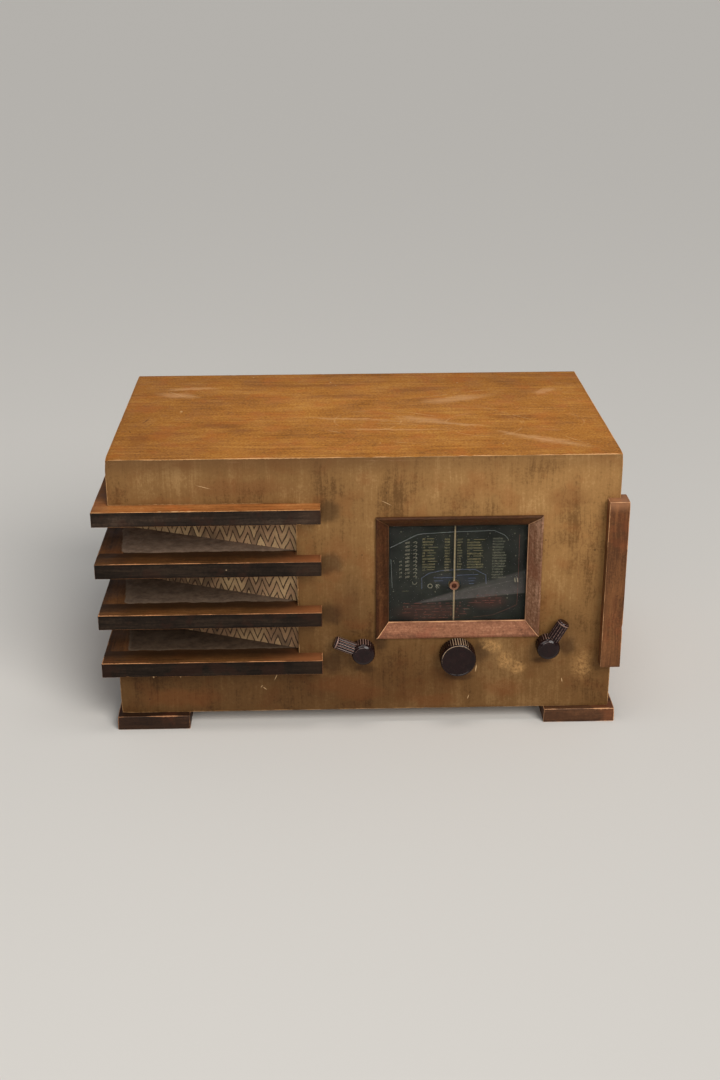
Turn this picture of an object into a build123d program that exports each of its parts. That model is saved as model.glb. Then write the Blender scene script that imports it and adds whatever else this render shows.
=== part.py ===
from build123d import *
import os
from math import cos, sin, radians, degrees, hypot, atan2, sqrt

os.makedirs("parts", exist_ok=True)

# Tabletop valve radio. Millimetres, +Z up, the dial faces -Y.
# The origin is the middle of the footprint, on the surface the radio stands on.

# ---------------------------------------------------------------- dimensions
# cabinet
W = 480.0            # width over the side boards
D = 286.5            # depth, front board face to back edge
H_FEET = 15.0        # feet
H_BODY = 262.8       # cabinet height above the feet
T = 10.0             # front, side and top boards
T_BOTTOM = 12.0
Z_TOP = H_FEET + H_BODY
REBATE_W, REBATE_D = 7.0, 4.0      # back cover rebate
X_IN = W / 2 - T                   # inner face of the side boards

# louvre rails round the front left corner
RAIL_T = 15.0                       # rail thickness
RAIL_TOPS = (232.7, 180.8, 128.3, 77.8)
RAIL_FRONT = -17.5                  # front face of the front rails
RAIL_LEFT = -254.0                  # outer face of the side rails
RAIL_RIGHT = -41.5                  # right end of the front rails
RAIL_BACK = 108.0                   # back end of the side rails
MOUTH_X = -65.0                     # right edge of the corner opening
MOUTH_Y = 84.0                      # back edge of the corner opening
MOUTH_Z0 = RAIL_TOPS[3] - RAIL_T
MOUTH_Z1 = RAIL_TOPS[0]

# angled speaker board
BAFFLE_ANGLE = 22.54                # degrees in plan, away from the front board
BAFFLE_Y0 = 11.0                    # cloth face where it meets the front board
CLOTH_T = 0.8
BAFFLE_T = 8.0
BAFFLE_LEN = (X_IN + MOUTH_X) / cos(radians(BAFFLE_ANGLE)) - 0.4
BAFFLE_Z0, BAFFLE_Z1 = 66.0, 229.7
SPK_R_HOLE = 60.0
SPK_R = 70.0
SPK_Z = 0.5 * (MOUTH_Z0 + RAIL_T + MOUTH_Z1 - RAIL_T)

# dial
BZ_X0, BZ_X1 = 10.0, 168.0          # bezel outer edges
BZ_Z0, BZ_Z1 = 92.8, 218.0
BZ_W = 12.6                         # bezel member width
BZ_LIP = 2.5
GLASS_T = 2.0
PLATE_Y = 16.2                      # front of the scale plate
PLATE_T = 1.0

# controls (x from the middle, z from the floor)
GANG_X, GANG_Z = 86.2, 141.0
TUNE_X, TUNE_Z = 89.0, 75.0
VOL_X, VOL_Z = -2.6, 82.0
BAND_X, BAND_Z = 176.1, 84.8
SPINDLE_R = 3.175
RUN = 0.05                          # radial running clearance
VOL_ARM, BAND_ARM = 156.9, 60.7     # lever directions at rest, degrees from +X
KNOB_BACK, KNOB_FRONT = -1.6, -17.4
KNOB_MID = -9.6
HUB_R = 11.3
ARM_R = 6.1
ARM_L = 30.5
TUNE_R = 17.5
DRIVE_RATIO = 10.0                  # knob turns per gang turn
CENTRES = hypot(TUNE_X - GANG_X, TUNE_Z - GANG_Z)
ROLLER_R = CENTRES / (DRIVE_RATIO + 1)
DISC_R = CENTRES - ROLLER_R
GAP = 0.3

# chassis
CH_X0, CH_X1 = -45.0, 222.0
CH_Y0, CH_Y1 = 42.0, 250.0
CH_Z0 = H_FEET + T_BOTTOM
CH_Z1 = 102.0
CH_T = 1.5

# the cabinet's middle and front face in the part's own frame
CX = 3.5
CY = -134.5


def at(x, y, z=0.0):
    """Point from the cabinet's middle plane, its front face and the floor."""
    return Vector(x + CX, y + CY, z)


def level(z, x=0.0, y=0.0):
    """Horizontal plane at height z."""
    return Plane(origin=at(x, y, z))


def facing(y, x=0.0, z=0.0):
    """Upright plane at depth y, looking to the front: sketch x is X, sketch y is Z."""
    return Plane(origin=at(x, y, z), x_dir=(1, 0, 0), z_dir=(0, -1, 0))


def flank(x, y=0.0, z=0.0):
    """Upright plane at x, looking to the right: sketch x is Y, sketch y is Z."""
    return Plane(origin=at(x, y, z), x_dir=(0, 1, 0), z_dir=(1, 0, 0))


LOW = (Align.MIN, Align.MIN)

# ================================================================= cabinet
# top board: full width and depth, its long edges eased
with BuildPart() as top_panel:
    with BuildSketch(level(Z_TOP - T)):
        with Locations((0, D / 2)):
            Rectangle(W, D)
    extrude(amount=T)
    fillet(top_panel.faces().sort_by(Axis.Z)[-1].edges(), radius=1.2)
    with BuildSketch(facing(D)):
        with Locations((0, Z_TOP - T + REBATE_W / 2)):
            Rectangle(W - 2 * (T - REBATE_W), REBATE_W)
    extrude(amount=REBATE_D, mode=Mode.SUBTRACT)
top_panel.part.label = "top_panel"
export_step(top_panel.part, "parts/top_panel.step")

# front board: corner opening, dial window and three spindle holes
with BuildPart() as front_panel:
    with BuildSketch(facing(T)):
        with Locations((-W / 2, H_FEET)):
            Rectangle(W, H_BODY - T, align=LOW)
        with Locations((-W / 2, MOUTH_Z0)):
            Rectangle(W / 2 + MOUTH_X, MOUTH_Z1 - MOUTH_Z0, align=LOW, mode=Mode.SUBTRACT)
        with Locations((BZ_X0 + BZ_LIP, BZ_Z0 + BZ_LIP)):
            Rectangle(BZ_X1 - BZ_X0 - 2 * BZ_LIP, BZ_Z1 - BZ_Z0 - 2 * BZ_LIP, align=LOW, mode=Mode.SUBTRACT)
        with Locations((VOL_X, VOL_Z), (TUNE_X, TUNE_Z), (BAND_X, BAND_Z)):
            Circle(5.0, mode=Mode.SUBTRACT)
    extrude(amount=T)
    bottom_edge = front_panel.edges().filter_by(Axis.X).group_by(Axis.Z)[0].sort_by(Axis.Y)[0]
    fillet(bottom_edge, radius=1.0)
front_panel.part.label = "front_panel"
export_step(front_panel.part, "parts/front_panel.step")

# left side board: notched for the corner opening
with BuildPart() as left_side_panel:
    with BuildSketch(flank(-W / 2)):
        with Locations((T, H_FEET)):
            Rectangle(D - T, H_BODY - T, align=LOW)
        with Locations((T, MOUTH_Z0)):
            Rectangle(MOUTH_Y - T, MOUTH_Z1 - MOUTH_Z0, align=LOW, mode=Mode.SUBTRACT)
    extrude(amount=T)
    with BuildSketch(flank(-W / 2 + T - REBATE_W)):
        with Locations((D - REBATE_D, H_FEET)):
            Rectangle(REBATE_D, H_BODY - T, align=LOW)
    extrude(amount=REBATE_W, mode=Mode.SUBTRACT)
left_side_panel.part.label = "left_side_panel"
export_step(left_side_panel.part, "parts/left_side_panel.step")

with BuildPart() as right_side_panel:
    with BuildSketch(flank(X_IN)):
        with Locations((T, H_FEET)):
            Rectangle(D - T, H_BODY - T, align=LOW)
    extrude(amount=T)
    with BuildSketch(flank(X_IN)):
        with Locations((D - REBATE_D, H_FEET)):
            Rectangle(REBATE_D, H_BODY - T, align=LOW)
    extrude(amount=REBATE_W, mode=Mode.SUBTRACT)
right_side_panel.part.label = "right_side_panel"
export_step(right_side_panel.part, "parts/right_side_panel.step")

# bottom board between the sides, with four bolt holes for the chassis
BOLTS = [(x, y) for x in (-32.0, 150.0) for y in (CH_Y0 + 7.5, CH_Y1 - 7.5)]
with BuildPart() as bottom_panel:
    with BuildSketch(level(H_FEET)):
        with Locations((-X_IN, T)):
            Rectangle(2 * X_IN, D - T, align=LOW)
        with Locations(*BOLTS):
            Circle(2.5, mode=Mode.SUBTRACT)
    extrude(amount=T_BOTTOM)
    with BuildSketch(facing(D)):
        with Locations((-X_IN, H_FEET + T_BOTTOM - REBATE_W)):
            Rectangle(2 * X_IN, REBATE_W, align=LOW)
    extrude(amount=REBATE_D, mode=Mode.SUBTRACT)
bottom_panel.part.label = "bottom_panel"
export_step(bottom_panel.part, "parts/bottom_panel.step")

# back cover: pressed board in the rebate, with vent slots, terminal window and cord hole
BACK_Y = D - REBATE_D
BACK_T = 3.0
BACK_X = X_IN + REBATE_W - 0.5
BACK_Z0 = H_FEET + T_BOTTOM - REBATE_W + 0.5
BACK_Z1 = Z_TOP - T + REBATE_W - 0.5
GLAND_X, GLAND_Z = 185.0, 52.0
BACK_SCREWS = [(x, z) for x in (-BACK_X + 3.2, BACK_X - 3.2) for z in (40.0, 145.0, 255.0)] + \
              [(x, BACK_Z1 - 3.2) for x in (-120.0, 120.0)]
with BuildPart() as back_cover:
    with BuildSketch(facing(BACK_Y + BACK_T)):
        with Locations((0, (BACK_Z0 + BACK_Z1) / 2)):
            Rectangle(2 * BACK_X, BACK_Z1 - BACK_Z0)
        with Locations((92, 214)):
            with GridLocations(18, 0, 13, 1):
                SlotOverall(56, 5.5, rotation=90, mode=Mode.SUBTRACT)
        with Locations((92, 92)):
            with GridLocations(18, 0, 13, 1):
                SlotOverall(26, 5.5, rotation=90, mode=Mode.SUBTRACT)
        with Locations((-140, 150)):
            with GridLocations(16, 16, 7, 7):
                Circle(4.0, mode=Mode.SUBTRACT)
        with Locations((20, 52)):
            RectangleRounded(84, 24, 3, mode=Mode.SUBTRACT)
        with Locations((GLAND_X, GLAND_Z)):
            Circle(7.0, mode=Mode.SUBTRACT)
        with Locations(*BACK_SCREWS):
            Circle(1.6, mode=Mode.SUBTRACT)
    extrude(amount=BACK_T)
back_cover.part.label = "back_cover"
export_step(back_cover.part, "parts/back_cover.step")

# round-headed wood screws of the back cover
with BuildPart() as back_cover_screws:
    with BuildSketch(facing(BACK_Y + BACK_T)):
        with Locations(*BACK_SCREWS):
            Circle(1.6)
    extrude(amount=BACK_T)
    with BuildSketch(facing(D)):
        with Locations(*BACK_SCREWS):
            Circle(3.0)
            Rectangle(7.0, 0.8, rotation=25, mode=Mode.SUBTRACT)
    extrude(amount=0.6)
    with BuildSketch(facing(D - 0.6)):
        with Locations(*BACK_SCREWS):
            Circle(3.0)
    extrude(amount=0.4)
back_cover_screws.part.label = "back_cover_screws"
export_step(back_cover_screws.part, "parts/back_cover_screws.step")

# feet: two low runners, standing proud of the cabinet in front and at the sides
with BuildPart() as foot_left:
    with BuildSketch(level(0)):
        with Locations((-244.0, -7.5)):
            Rectangle(71.2, 282.0, align=LOW)
    extrude(amount=H_FEET)
    fillet(foot_left.edges().filter_by(Axis.Z), radius=1.5)
foot_left.part.label = "foot_left"
export_step(foot_left.part, "parts/foot_left.step")

with BuildPart() as foot_right:
    with BuildSketch(level(0)):
        with Locations((175.5, -6.0)):
            Rectangle(70.5, 280.5, align=LOW)
    extrude(amount=H_FEET)
    fillet(foot_right.edges().filter_by(Axis.Z), radius=1.5)
foot_right.part.label = "foot_right"
export_step(foot_right.part, "parts/foot_right.step")

# upright strip, rebated over the front right corner
with BuildPart() as corner_strip:
    with BuildSketch(level(63.0)):
        with BuildLine():
            Polyline((227.5, 0), (227.5, -12.5), (247.0, -12.5), (247.0, 9.5), (240.0, 9.5), (240.0, 0), close=True)
        make_face()
    extrude(amount=171.5)
    chamfer(corner_strip.edges().filter_by(Axis.Z).group_by(Axis.Y)[0], length=0.8)
corner_strip.part.label = "corner_strip"
export_step(corner_strip.part, "parts/corner_strip.step")

# ================================================================= corner grille
# each rail: a front rail that laps on to the front board, and a side rail butted behind it
for n, top in enumerate(RAIL_TOPS, start=1):
    with BuildPart() as rail_front:
        with BuildSketch(level(top - RAIL_T)):
            with BuildLine():
                Polyline((RAIL_LEFT, RAIL_FRONT), (RAIL_RIGHT, RAIL_FRONT), (RAIL_RIGHT, 0), (MOUTH_X, 0),
                         (MOUTH_X, T), (RAIL_LEFT, T), close=True)
            make_face()
        extrude(amount=RAIL_T)
        long_edges = rail_front.edges().filter_by(Axis.X).group_by(Axis.Y)[0]
        chamfer(long_edges, length=0.6)
    rail_front.part.label = f"louvre_{n}_front"
    export_step(rail_front.part, f"parts/louvre_{n}_front.step")

    with BuildPart() as rail_side:
        with BuildSketch(level(top - RAIL_T)):
            with BuildLine():
                Polyline((RAIL_LEFT, T), (-X_IN, T), (-X_IN, MOUTH_Y), (-W / 2, MOUTH_Y),
                         (-W / 2, RAIL_BACK), (RAIL_LEFT, RAIL_BACK), close=True)
            make_face()
        extrude(amount=RAIL_T)
        outer_edges = rail_side.edges().filter_by(Axis.Y).group_by(Axis.X)[0]
        chamfer(outer_edges, length=0.6)
    rail_side.part.label = f"louvre_{n}_side"
    export_step(rail_side.part, f"parts/louvre_{n}_side.step")

    # three-cornered shelf between the rails and the speaker cloth
    with BuildPart() as shelf:
        with BuildSketch(level(top - RAIL_T)):
            with BuildLine():
                Polyline((-X_IN, T), (MOUTH_X + (BAFFLE_Y0 - T) / (sin(radians(BAFFLE_ANGLE)) / cos(radians(BAFFLE_ANGLE))), T),
                         (-X_IN, BAFFLE_Y0 + (X_IN + MOUTH_X) * sin(radians(BAFFLE_ANGLE)) / cos(radians(BAFFLE_ANGLE))), close=True)
            make_face()
        extrude(amount=RAIL_T)
    shelf.part.label = f"corner_shelf_{n}"
    export_step(shelf.part, f"parts/corner_shelf_{n}.step")

# angled speaker board and its cloth; local x runs along the board to the right, local y is up
BX, BY = cos(radians(BAFFLE_ANGLE)), -sin(radians(BAFFLE_ANGLE))     # along the board, to the right
NX, NY = sin(radians(BAFFLE_ANGLE)), cos(radians(BAFFLE_ANGLE))      # into the cabinet
U_MID = -BAFFLE_LEN / 2


def board(depth):
    """Plane parallel to the cloth face, depth behind it, looking out of the grille."""
    p = at(MOUTH_X + NX * depth, BAFFLE_Y0 + NY * depth, 0)
    return Plane(origin=p, x_dir=(BX, BY, 0), z_dir=(-NX, -NY, 0))


with BuildPart() as speaker_cloth:
    with BuildSketch(board(CLOTH_T)):
        with Locations((-BAFFLE_LEN, BAFFLE_Z0)):
            Rectangle(BAFFLE_LEN, BAFFLE_Z1 - BAFFLE_Z0, align=LOW)
    extrude(amount=CLOTH_T)
speaker_cloth.part.label = "speaker_cloth"
export_step(speaker_cloth.part, "parts/speaker_cloth.step")

SPK_BOLTS = [(U_MID + 65.5 * cos(radians(a)), SPK_Z + 65.5 * sin(radians(a))) for a in (45, 135, 225, 315)]
with BuildPart() as speaker_baffle:
    with BuildSketch(board(CLOTH_T + BAFFLE_T)):
        with Locations((-BAFFLE_LEN, BAFFLE_Z0)):
            Rectangle(BAFFLE_LEN, BAFFLE_Z1 - BAFFLE_Z0, align=LOW)
        with Locations((U_MID, SPK_Z)):
            Circle(SPK_R_HOLE, mode=Mode.SUBTRACT)
        with Locations(*SPK_BOLTS):
            Circle(1.7, mode=Mode.SUBTRACT)
    extrude(amount=BAFFLE_T)
speaker_baffle.part.label = "speaker_baffle"
export_step(speaker_baffle.part, "parts/speaker_baffle.step")

# ----------------------------------------------------------------- loudspeaker
SPK_0 = CLOTH_T + BAFFLE_T                                     # back of the speaker board
SPK_C = at(MOUTH_X + BX * U_MID + NX * SPK_0, BAFFLE_Y0 + BY * U_MID + NY * SPK_0, SPK_Z)
SPK_AXIS = Axis(SPK_C, (NX, NY, 0))
SPK_HALF = Plane(origin=SPK_C, x_dir=(NX, NY, 0), z_dir=(BX, BY, 0))   # sketch x is depth, y is radius
SPK_DEPTH = 42.0                                               # frame depth
POT_R, POT_L = 33.0, 36.0

with BuildPart() as speaker_basket:
    with BuildSketch(SPK_HALF):
        with BuildLine():
            Polyline((0, 58), (0, SPK_R), (1.5, SPK_R), (1.5, 61.5), (5.0, 60.5), (SPK_DEPTH - 3.5, 33.5), (SPK_DEPTH, 33.5),
                     (SPK_DEPTH, 18.0), (SPK_DEPTH - 1.5, 18.0), (SPK_DEPTH - 1.5, 32.0), (SPK_DEPTH - 4.3, 32.0), (4.0, 58.8), (1.5, 58), close=True)
        make_face()
    revolve(axis=SPK_AXIS)
    # windows in the cone of the frame
    with BuildSketch(board(SPK_0 + 31.0)):
        with Locations((U_MID, SPK_Z)):
            with PolarLocations(45.0, 6, start_angle=0):
                RectangleRounded(17.0, 22.0, 3.0)
    extrude(amount=21.0, mode=Mode.SUBTRACT)
    with BuildSketch(board(SPK_0 + 2.0)):
        with Locations(*SPK_BOLTS):
            Circle(1.7)
    extrude(amount=3.0, mode=Mode.SUBTRACT)
speaker_basket.part.label = "speaker_basket"
export_step(speaker_basket.part, "parts/speaker_basket.step")

with BuildPart() as speaker_cone:
    with BuildSketch(SPK_HALF):
        with BuildLine():
            Polyline((1.0, 58.0), (-1.0, 56.0), (0.2, 54.2), (-1.0, 52.4), (2.0, 50.0), (30.0, 14.0), (36.5, 14.0), (36.5, 13.2),
                     (29.6, 13.2), (1.2, 49.4), (-2.0, 52.4), (-0.8, 54.2), (-2.0, 56.0), (0.0, 58.0), close=True)
        make_face()
    revolve(axis=SPK_AXIS)
speaker_cone.part.label = "speaker_cone"
export_step(speaker_cone.part, "parts/speaker_cone.step")

with BuildPart() as speaker_dust_cap:
    with BuildSketch(SPK_HALF):
        with BuildLine():
            Polyline((23.6, 0), (24.4, 0), (24.7, 3.0), (25.7, 6.5), (27.4, 10.0), (29.6, 13.2), (28.7, 13.2),
                     (26.5, 10.2), (24.9, 6.8), (23.9, 3.2), close=True)
        make_face()
    revolve(axis=SPK_AXIS)
speaker_dust_cap.part.label = "speaker_dust_cap"
export_step(speaker_dust_cap.part, "parts/speaker_dust_cap.step")

with BuildPart() as speaker_magnet:
    with BuildSketch(SPK_HALF):
        with BuildLine():
            Polyline((SPK_DEPTH, 14.8), (SPK_DEPTH, POT_R), (SPK_DEPTH + POT_L, POT_R), (SPK_DEPTH + POT_L, 0), (32.0, 0), (32.0, 12.4),
                     (SPK_DEPTH + 8, 12.4), (SPK_DEPTH + 8, 14.8), close=True)
        make_face()
    revolve(axis=SPK_AXIS)
    chamfer(speaker_magnet.edges().filter_by(GeomType.CIRCLE).sort_by(Axis((SPK_C.X, SPK_C.Y, SPK_C.Z), (NX, NY, 0)))[-1], length=2.0)
speaker_magnet.part.label = "speaker_magnet"
export_step(speaker_magnet.part, "parts/speaker_magnet.step")

with BuildPart() as speaker_bolts:
    with BuildSketch(board(SPK_0 + 4.0)):
        with Locations(*SPK_BOLTS):
            RegularPolygon(3.2, 6)
    extrude(amount=2.5)
    with BuildSketch(board(SPK_0 + 1.5)):
        with Locations(*SPK_BOLTS):
            Circle(1.7)
    extrude(amount=BAFFLE_T + 1.5)
speaker_bolts.part.label = "speaker_bolts"
export_step(speaker_bolts.part, "parts/speaker_bolts.step")

# ================================================================= dial
# bezel: four mitred members whose faces slope in towards the glass
LIP_Y = -3.0
INNER_Y = 8.4


def bezel_profile():
    """Section of a member: first coordinate is depth, second is the distance in from its outer edge."""
    return [(0, 0), (LIP_Y, 0), (LIP_Y - 0.5, 1.6), (INNER_Y, BZ_W), (T, BZ_W), (T, BZ_LIP), (0, BZ_LIP)]


MITRE = {
    "ll": Plane(origin=at(BZ_X0, 0, BZ_Z0), x_dir=(0, 1, 0), z_dir=(1, 0, -1)),
    "lr": Plane(origin=at(BZ_X1, 0, BZ_Z0), x_dir=(0, 1, 0), z_dir=(-1, 0, -1)),
    "ul": Plane(origin=at(BZ_X0, 0, BZ_Z1), x_dir=(0, 1, 0), z_dir=(1, 0, 1)),
    "ur": Plane(origin=at(BZ_X1, 0, BZ_Z1), x_dir=(0, 1, 0), z_dir=(-1, 0, 1)),
}

with BuildPart() as bezel_bottom:
    with BuildSketch(flank(BZ_X0)):
        with BuildLine():
            Polyline(*[(y, BZ_Z0 + s) for y, s in bezel_profile()], close=True)
        make_face()
    extrude(amount=BZ_X1 - BZ_X0)
    split(bisect_by=MITRE["ll"], keep=Keep.TOP)
    split(bisect_by=MITRE["lr"], keep=Keep.TOP)
bezel_bottom.part.label = "bezel_bottom"
export_step(bezel_bottom.part, "parts/bezel_bottom.step")

with BuildPart() as bezel_top:
    with BuildSketch(flank(BZ_X0)):
        with BuildLine():
            Polyline(*[(y, BZ_Z1 - s) for y, s in bezel_profile()], close=True)
        make_face()
    extrude(amount=BZ_X1 - BZ_X0)
    split(bisect_by=MITRE["ul"], keep=Keep.TOP)
    split(bisect_by=MITRE["ur"], keep=Keep.TOP)
bezel_top.part.label = "bezel_top"
export_step(bezel_top.part, "parts/bezel_top.step")

with BuildPart() as bezel_left:
    with BuildSketch(level(BZ_Z0)):
        with BuildLine():
            Polyline(*[(BZ_X0 + s, y) for y, s in bezel_profile()], close=True)
        make_face()
    extrude(amount=BZ_Z1 - BZ_Z0)
    split(bisect_by=MITRE["ll"], keep=Keep.BOTTOM)
    split(bisect_by=MITRE["ul"], keep=Keep.BOTTOM)
bezel_left.part.label = "bezel_left"
export_step(bezel_left.part, "parts/bezel_left.step")

with BuildPart() as bezel_right:
    with BuildSketch(level(BZ_Z0)):
        with BuildLine():
            Polyline(*[(BZ_X1 - s, y) for y, s in bezel_profile()], close=True)
        make_face()
    extrude(amount=BZ_Z1 - BZ_Z0)
    split(bisect_by=MITRE["lr"], keep=Keep.BOTTOM)
    split(bisect_by=MITRE["ur"], keep=Keep.BOTTOM)
bezel_right.part.label = "bezel_right"
export_step(bezel_right.part, "parts/bezel_right.step")

with BuildPart() as dial_glass:
    with BuildSketch(facing(T + GLASS_T)):
        with Locations((BZ_X0 - 2, BZ_Z0 - 2)):
            Rectangle(BZ_X1 - BZ_X0 + 4, BZ_Z1 - BZ_Z0 + 4, align=LOW)
    extrude(amount=GLASS_T)
dial_glass.part.label = "dial_glass"
export_step(dial_glass.part, "parts/dial_glass.step")

# scale plate with a clearance hole for the gang shaft
with BuildPart() as dial_plate:
    with BuildSketch(facing(PLATE_Y + PLATE_T)):
        with Locations((BZ_X0 - 4, BZ_Z0 - 4)):
            Rectangle(BZ_X1 - BZ_X0 + 8, BZ_Z1 - BZ_Z0 + 8, align=LOW)
        with Locations((GANG_X, GANG_Z)):
            Circle(5.5, mode=Mode.SUBTRACT)
    extrude(amount=PLATE_T)
dial_plate.part.label = "dial_plate"
export_step(dial_plate.part, "parts/dial_plate.step")

# double-ended pointer with an eye round its hub
PTR_Y = 13.2
PTR_UP, PTR_DOWN = 62.0, 45.0
with BuildPart() as dial_pointer:
    with BuildSketch(facing(PTR_Y + 0.8, GANG_X, GANG_Z)):
        with BuildLine():
            Polyline((-0.9, 0), (-0.55, PTR_UP), (0.55, PTR_UP), (0.9, 0), (0.55, -PTR_DOWN), (-0.55, -PTR_DOWN), close=True)
        make_face()
        Circle(4.5)
        Circle(2.5, mode=Mode.SUBTRACT)
    extrude(amount=0.8)
dial_pointer.part.label = "dial_pointer"
export_step(dial_pointer.part, "parts/dial_pointer.step")

with BuildPart() as pointer_hub:
    with BuildSketch(facing(PTR_Y + 0.8, GANG_X, GANG_Z)):
        Circle(2.5)
    extrude(amount=1.4)
    with BuildSketch(facing(15.6, GANG_X, GANG_Z)):
        Circle(4.2)
    extrude(amount=1.6)
    with BuildSketch(facing(15.6, GANG_X, GANG_Z)):
        Circle(SPINDLE_R)
    extrude(amount=1.2, mode=Mode.SUBTRACT)
pointer_hub.part.label = "pointer_hub"
export_step(pointer_hub.part, "parts/pointer_hub.step")

# two dial lamps in clip-on holders on the back of the front board, above the scale plate
with BuildPart() as dial_lamps:
    with BuildSketch(level(236.0)):
        with Locations((38, 20), (140, 20)):
            Circle(5.0)
    extrude(amount=14.0)
    with BuildSketch(level(228.0)):
        with Locations((38, 20), (140, 20)):
            Circle(4.2)
    extrude(amount=8.0)
    with BuildSketch(level(242.0)):
        with Locations((38, 13.5), (140, 13.5)):
            Rectangle(8.0, 7.0)
    extrude(amount=1.2)
    with BuildSketch(facing(11.2)):
        with Locations((38, 246), (140, 246)):
            Rectangle(8.0, 12.0)
    extrude(amount=1.2)
dial_lamps.part.label = "dial_lamps"
export_step(dial_lamps.part, "parts/dial_lamps.step")

# ================================================================= tuning drive
DISC_Y = 30.0
with BuildPart() as drive_disc:
    with BuildSketch(facing(DISC_Y + 1.5, GANG_X, GANG_Z)):
        Circle(DISC_R - GAP)
        with PolarLocations(34.0, 4, start_angle=45):
            Circle(9.0, mode=Mode.SUBTRACT)
    extrude(amount=1.5)
    with BuildSketch(facing(DISC_Y + 7.0, GANG_X, GANG_Z)):
        Circle(8.0)
    extrude(amount=12.0)
    with BuildSketch(facing(DISC_Y + 8.0, GANG_X, GANG_Z)):
        Circle(SPINDLE_R)
    extrude(amount=14.0, mode=Mode.SUBTRACT)
drive_disc.part.label = "drive_disc"
export_step(drive_disc.part, "parts/drive_disc.step")

# tuning spindle: the disc's rim runs in the groove between its two pinch flanges
with BuildPart() as tuning_spindle:
    with BuildSketch(facing(52.0, TUNE_X, TUNE_Z)):
        Circle(SPINDLE_R)
    extrude(amount=52.0 + 13.0)
    with BuildSketch(facing(DISC_Y + 3.0, TUNE_X, TUNE_Z)):
        Circle(8.4)
    extrude(amount=1.2)
    with BuildSketch(facing(DISC_Y - 0.3, TUNE_X, TUNE_Z)):
        Circle(8.4)
    extrude(amount=1.2)
    with BuildSketch(facing(DISC_Y + 3.0, TUNE_X, TUNE_Z)):
        Circle(ROLLER_R)
    extrude(amount=4.0)
tuning_spindle.part.label = "tuning_spindle"
export_step(tuning_spindle.part, "parts/tuning_spindle.step")

# gang capacitor
GF_X = 32.0
GF_Y0, GF_Y1 = 60.0, 138.0
GF_Z1 = GANG_Z + 33.0
ROTOR_R = 24.0
PITCH = 3.6
PLATE = 1.0
SECTIONS = (68.0, 104.0)             # first stator plate of each section
N_ROTOR = 6
with BuildPart() as gang_frame:
    with BuildSketch(level(CH_Z1)):
        with Locations((GANG_X - GF_X, GF_Y0)):
            Rectangle(2 * GF_X, GF_Y1 - GF_Y0, align=LOW)
    extrude(amount=2.0)
    for y in (GF_Y0 + 2.0, GF_Y1):
        with BuildSketch(facing(y)):
            with Locations((GANG_X - GF_X, CH_Z1)):
                Rectangle(2 * GF_X, GF_Z1 - CH_Z1, align=LOW)
            with Locations((GANG_X, GANG_Z)):
                Circle(SPINDLE_R + RUN, mode=Mode.SUBTRACT)
        extrude(amount=2.0)
    with BuildSketch(facing((SECTIONS[0] + SECTIONS[1]) / 2 + 13.0)):
        with Locations((GANG_X - GF_X, CH_Z1)):
            Rectangle(2 * GF_X, 10.0, align=LOW)
    extrude(amount=1.5)
gang_frame.part.label = "gang_frame"
export_step(gang_frame.part, "parts/gang_frame.step")

# fixed plates on the left of the shaft, on two rods between the end plates
with BuildPart() as gang_stators:
    for y0 in SECTIONS:
        for i in range(N_ROTOR + 1):
            with BuildSketch(facing(y0 + i * PITCH + PLATE, GANG_X, GANG_Z)):
                with BuildLine():
                    Line((-1.0, 27.5), (-1.0, 8.5))
                    ThreePointArc((-1.0, 8.5), (-8.5, 0), (-1.0, -8.5))
                    Line((-1.0, -8.5), (-1.0, -27.5))
                    ThreePointArc((-1.0, -27.5), (-27.5, 0), (-1.0, 27.5))
                make_face()
            extrude(amount=PLATE)
    with BuildSketch(facing(GF_Y1 - 2.0, GANG_X, GANG_Z)):
        with Locations((-21.0, 19.5), (-21.0, -19.5)):
            Circle(2.6)
    extrude(amount=GF_Y1 - GF_Y0 - 4.0)
gang_stators.part.label = "gang_stators"
export_step(gang_stators.part, "parts/gang_stators.step")

# shaft and half-round moving plates, hanging down with the dial at mid scale
with BuildPart() as gang_rotor:
    with BuildSketch(facing(GF_Y1 + 3.0, GANG_X, GANG_Z)):
        Circle(SPINDLE_R)
    extrude(amount=GF_Y1 + 3.0 - 14.4)
    for y0 in SECTIONS:
        with BuildSketch(facing(y0 + N_ROTOR * PITCH - 0.4, GANG_X, GANG_Z)):
            Circle(6.0)
        extrude(amount=N_ROTOR * PITCH - 1.8)
        for i in range(N_ROTOR):
            with BuildSketch(facing(y0 + PLATE + (PITCH - PLATE) / 2 + i * PITCH + PLATE / 2, GANG_X, GANG_Z)):
                with BuildLine():
                    Line((-ROTOR_R, -0.5), (ROTOR_R, -0.5))
                    ThreePointArc((ROTOR_R, -0.5), (0, -ROTOR_R), (-ROTOR_R, -0.5))
                make_face()
            extrude(amount=PLATE)
gang_rotor.part.label = "gang_rotor"
export_step(gang_rotor.part, "parts/gang_rotor.step")

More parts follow.
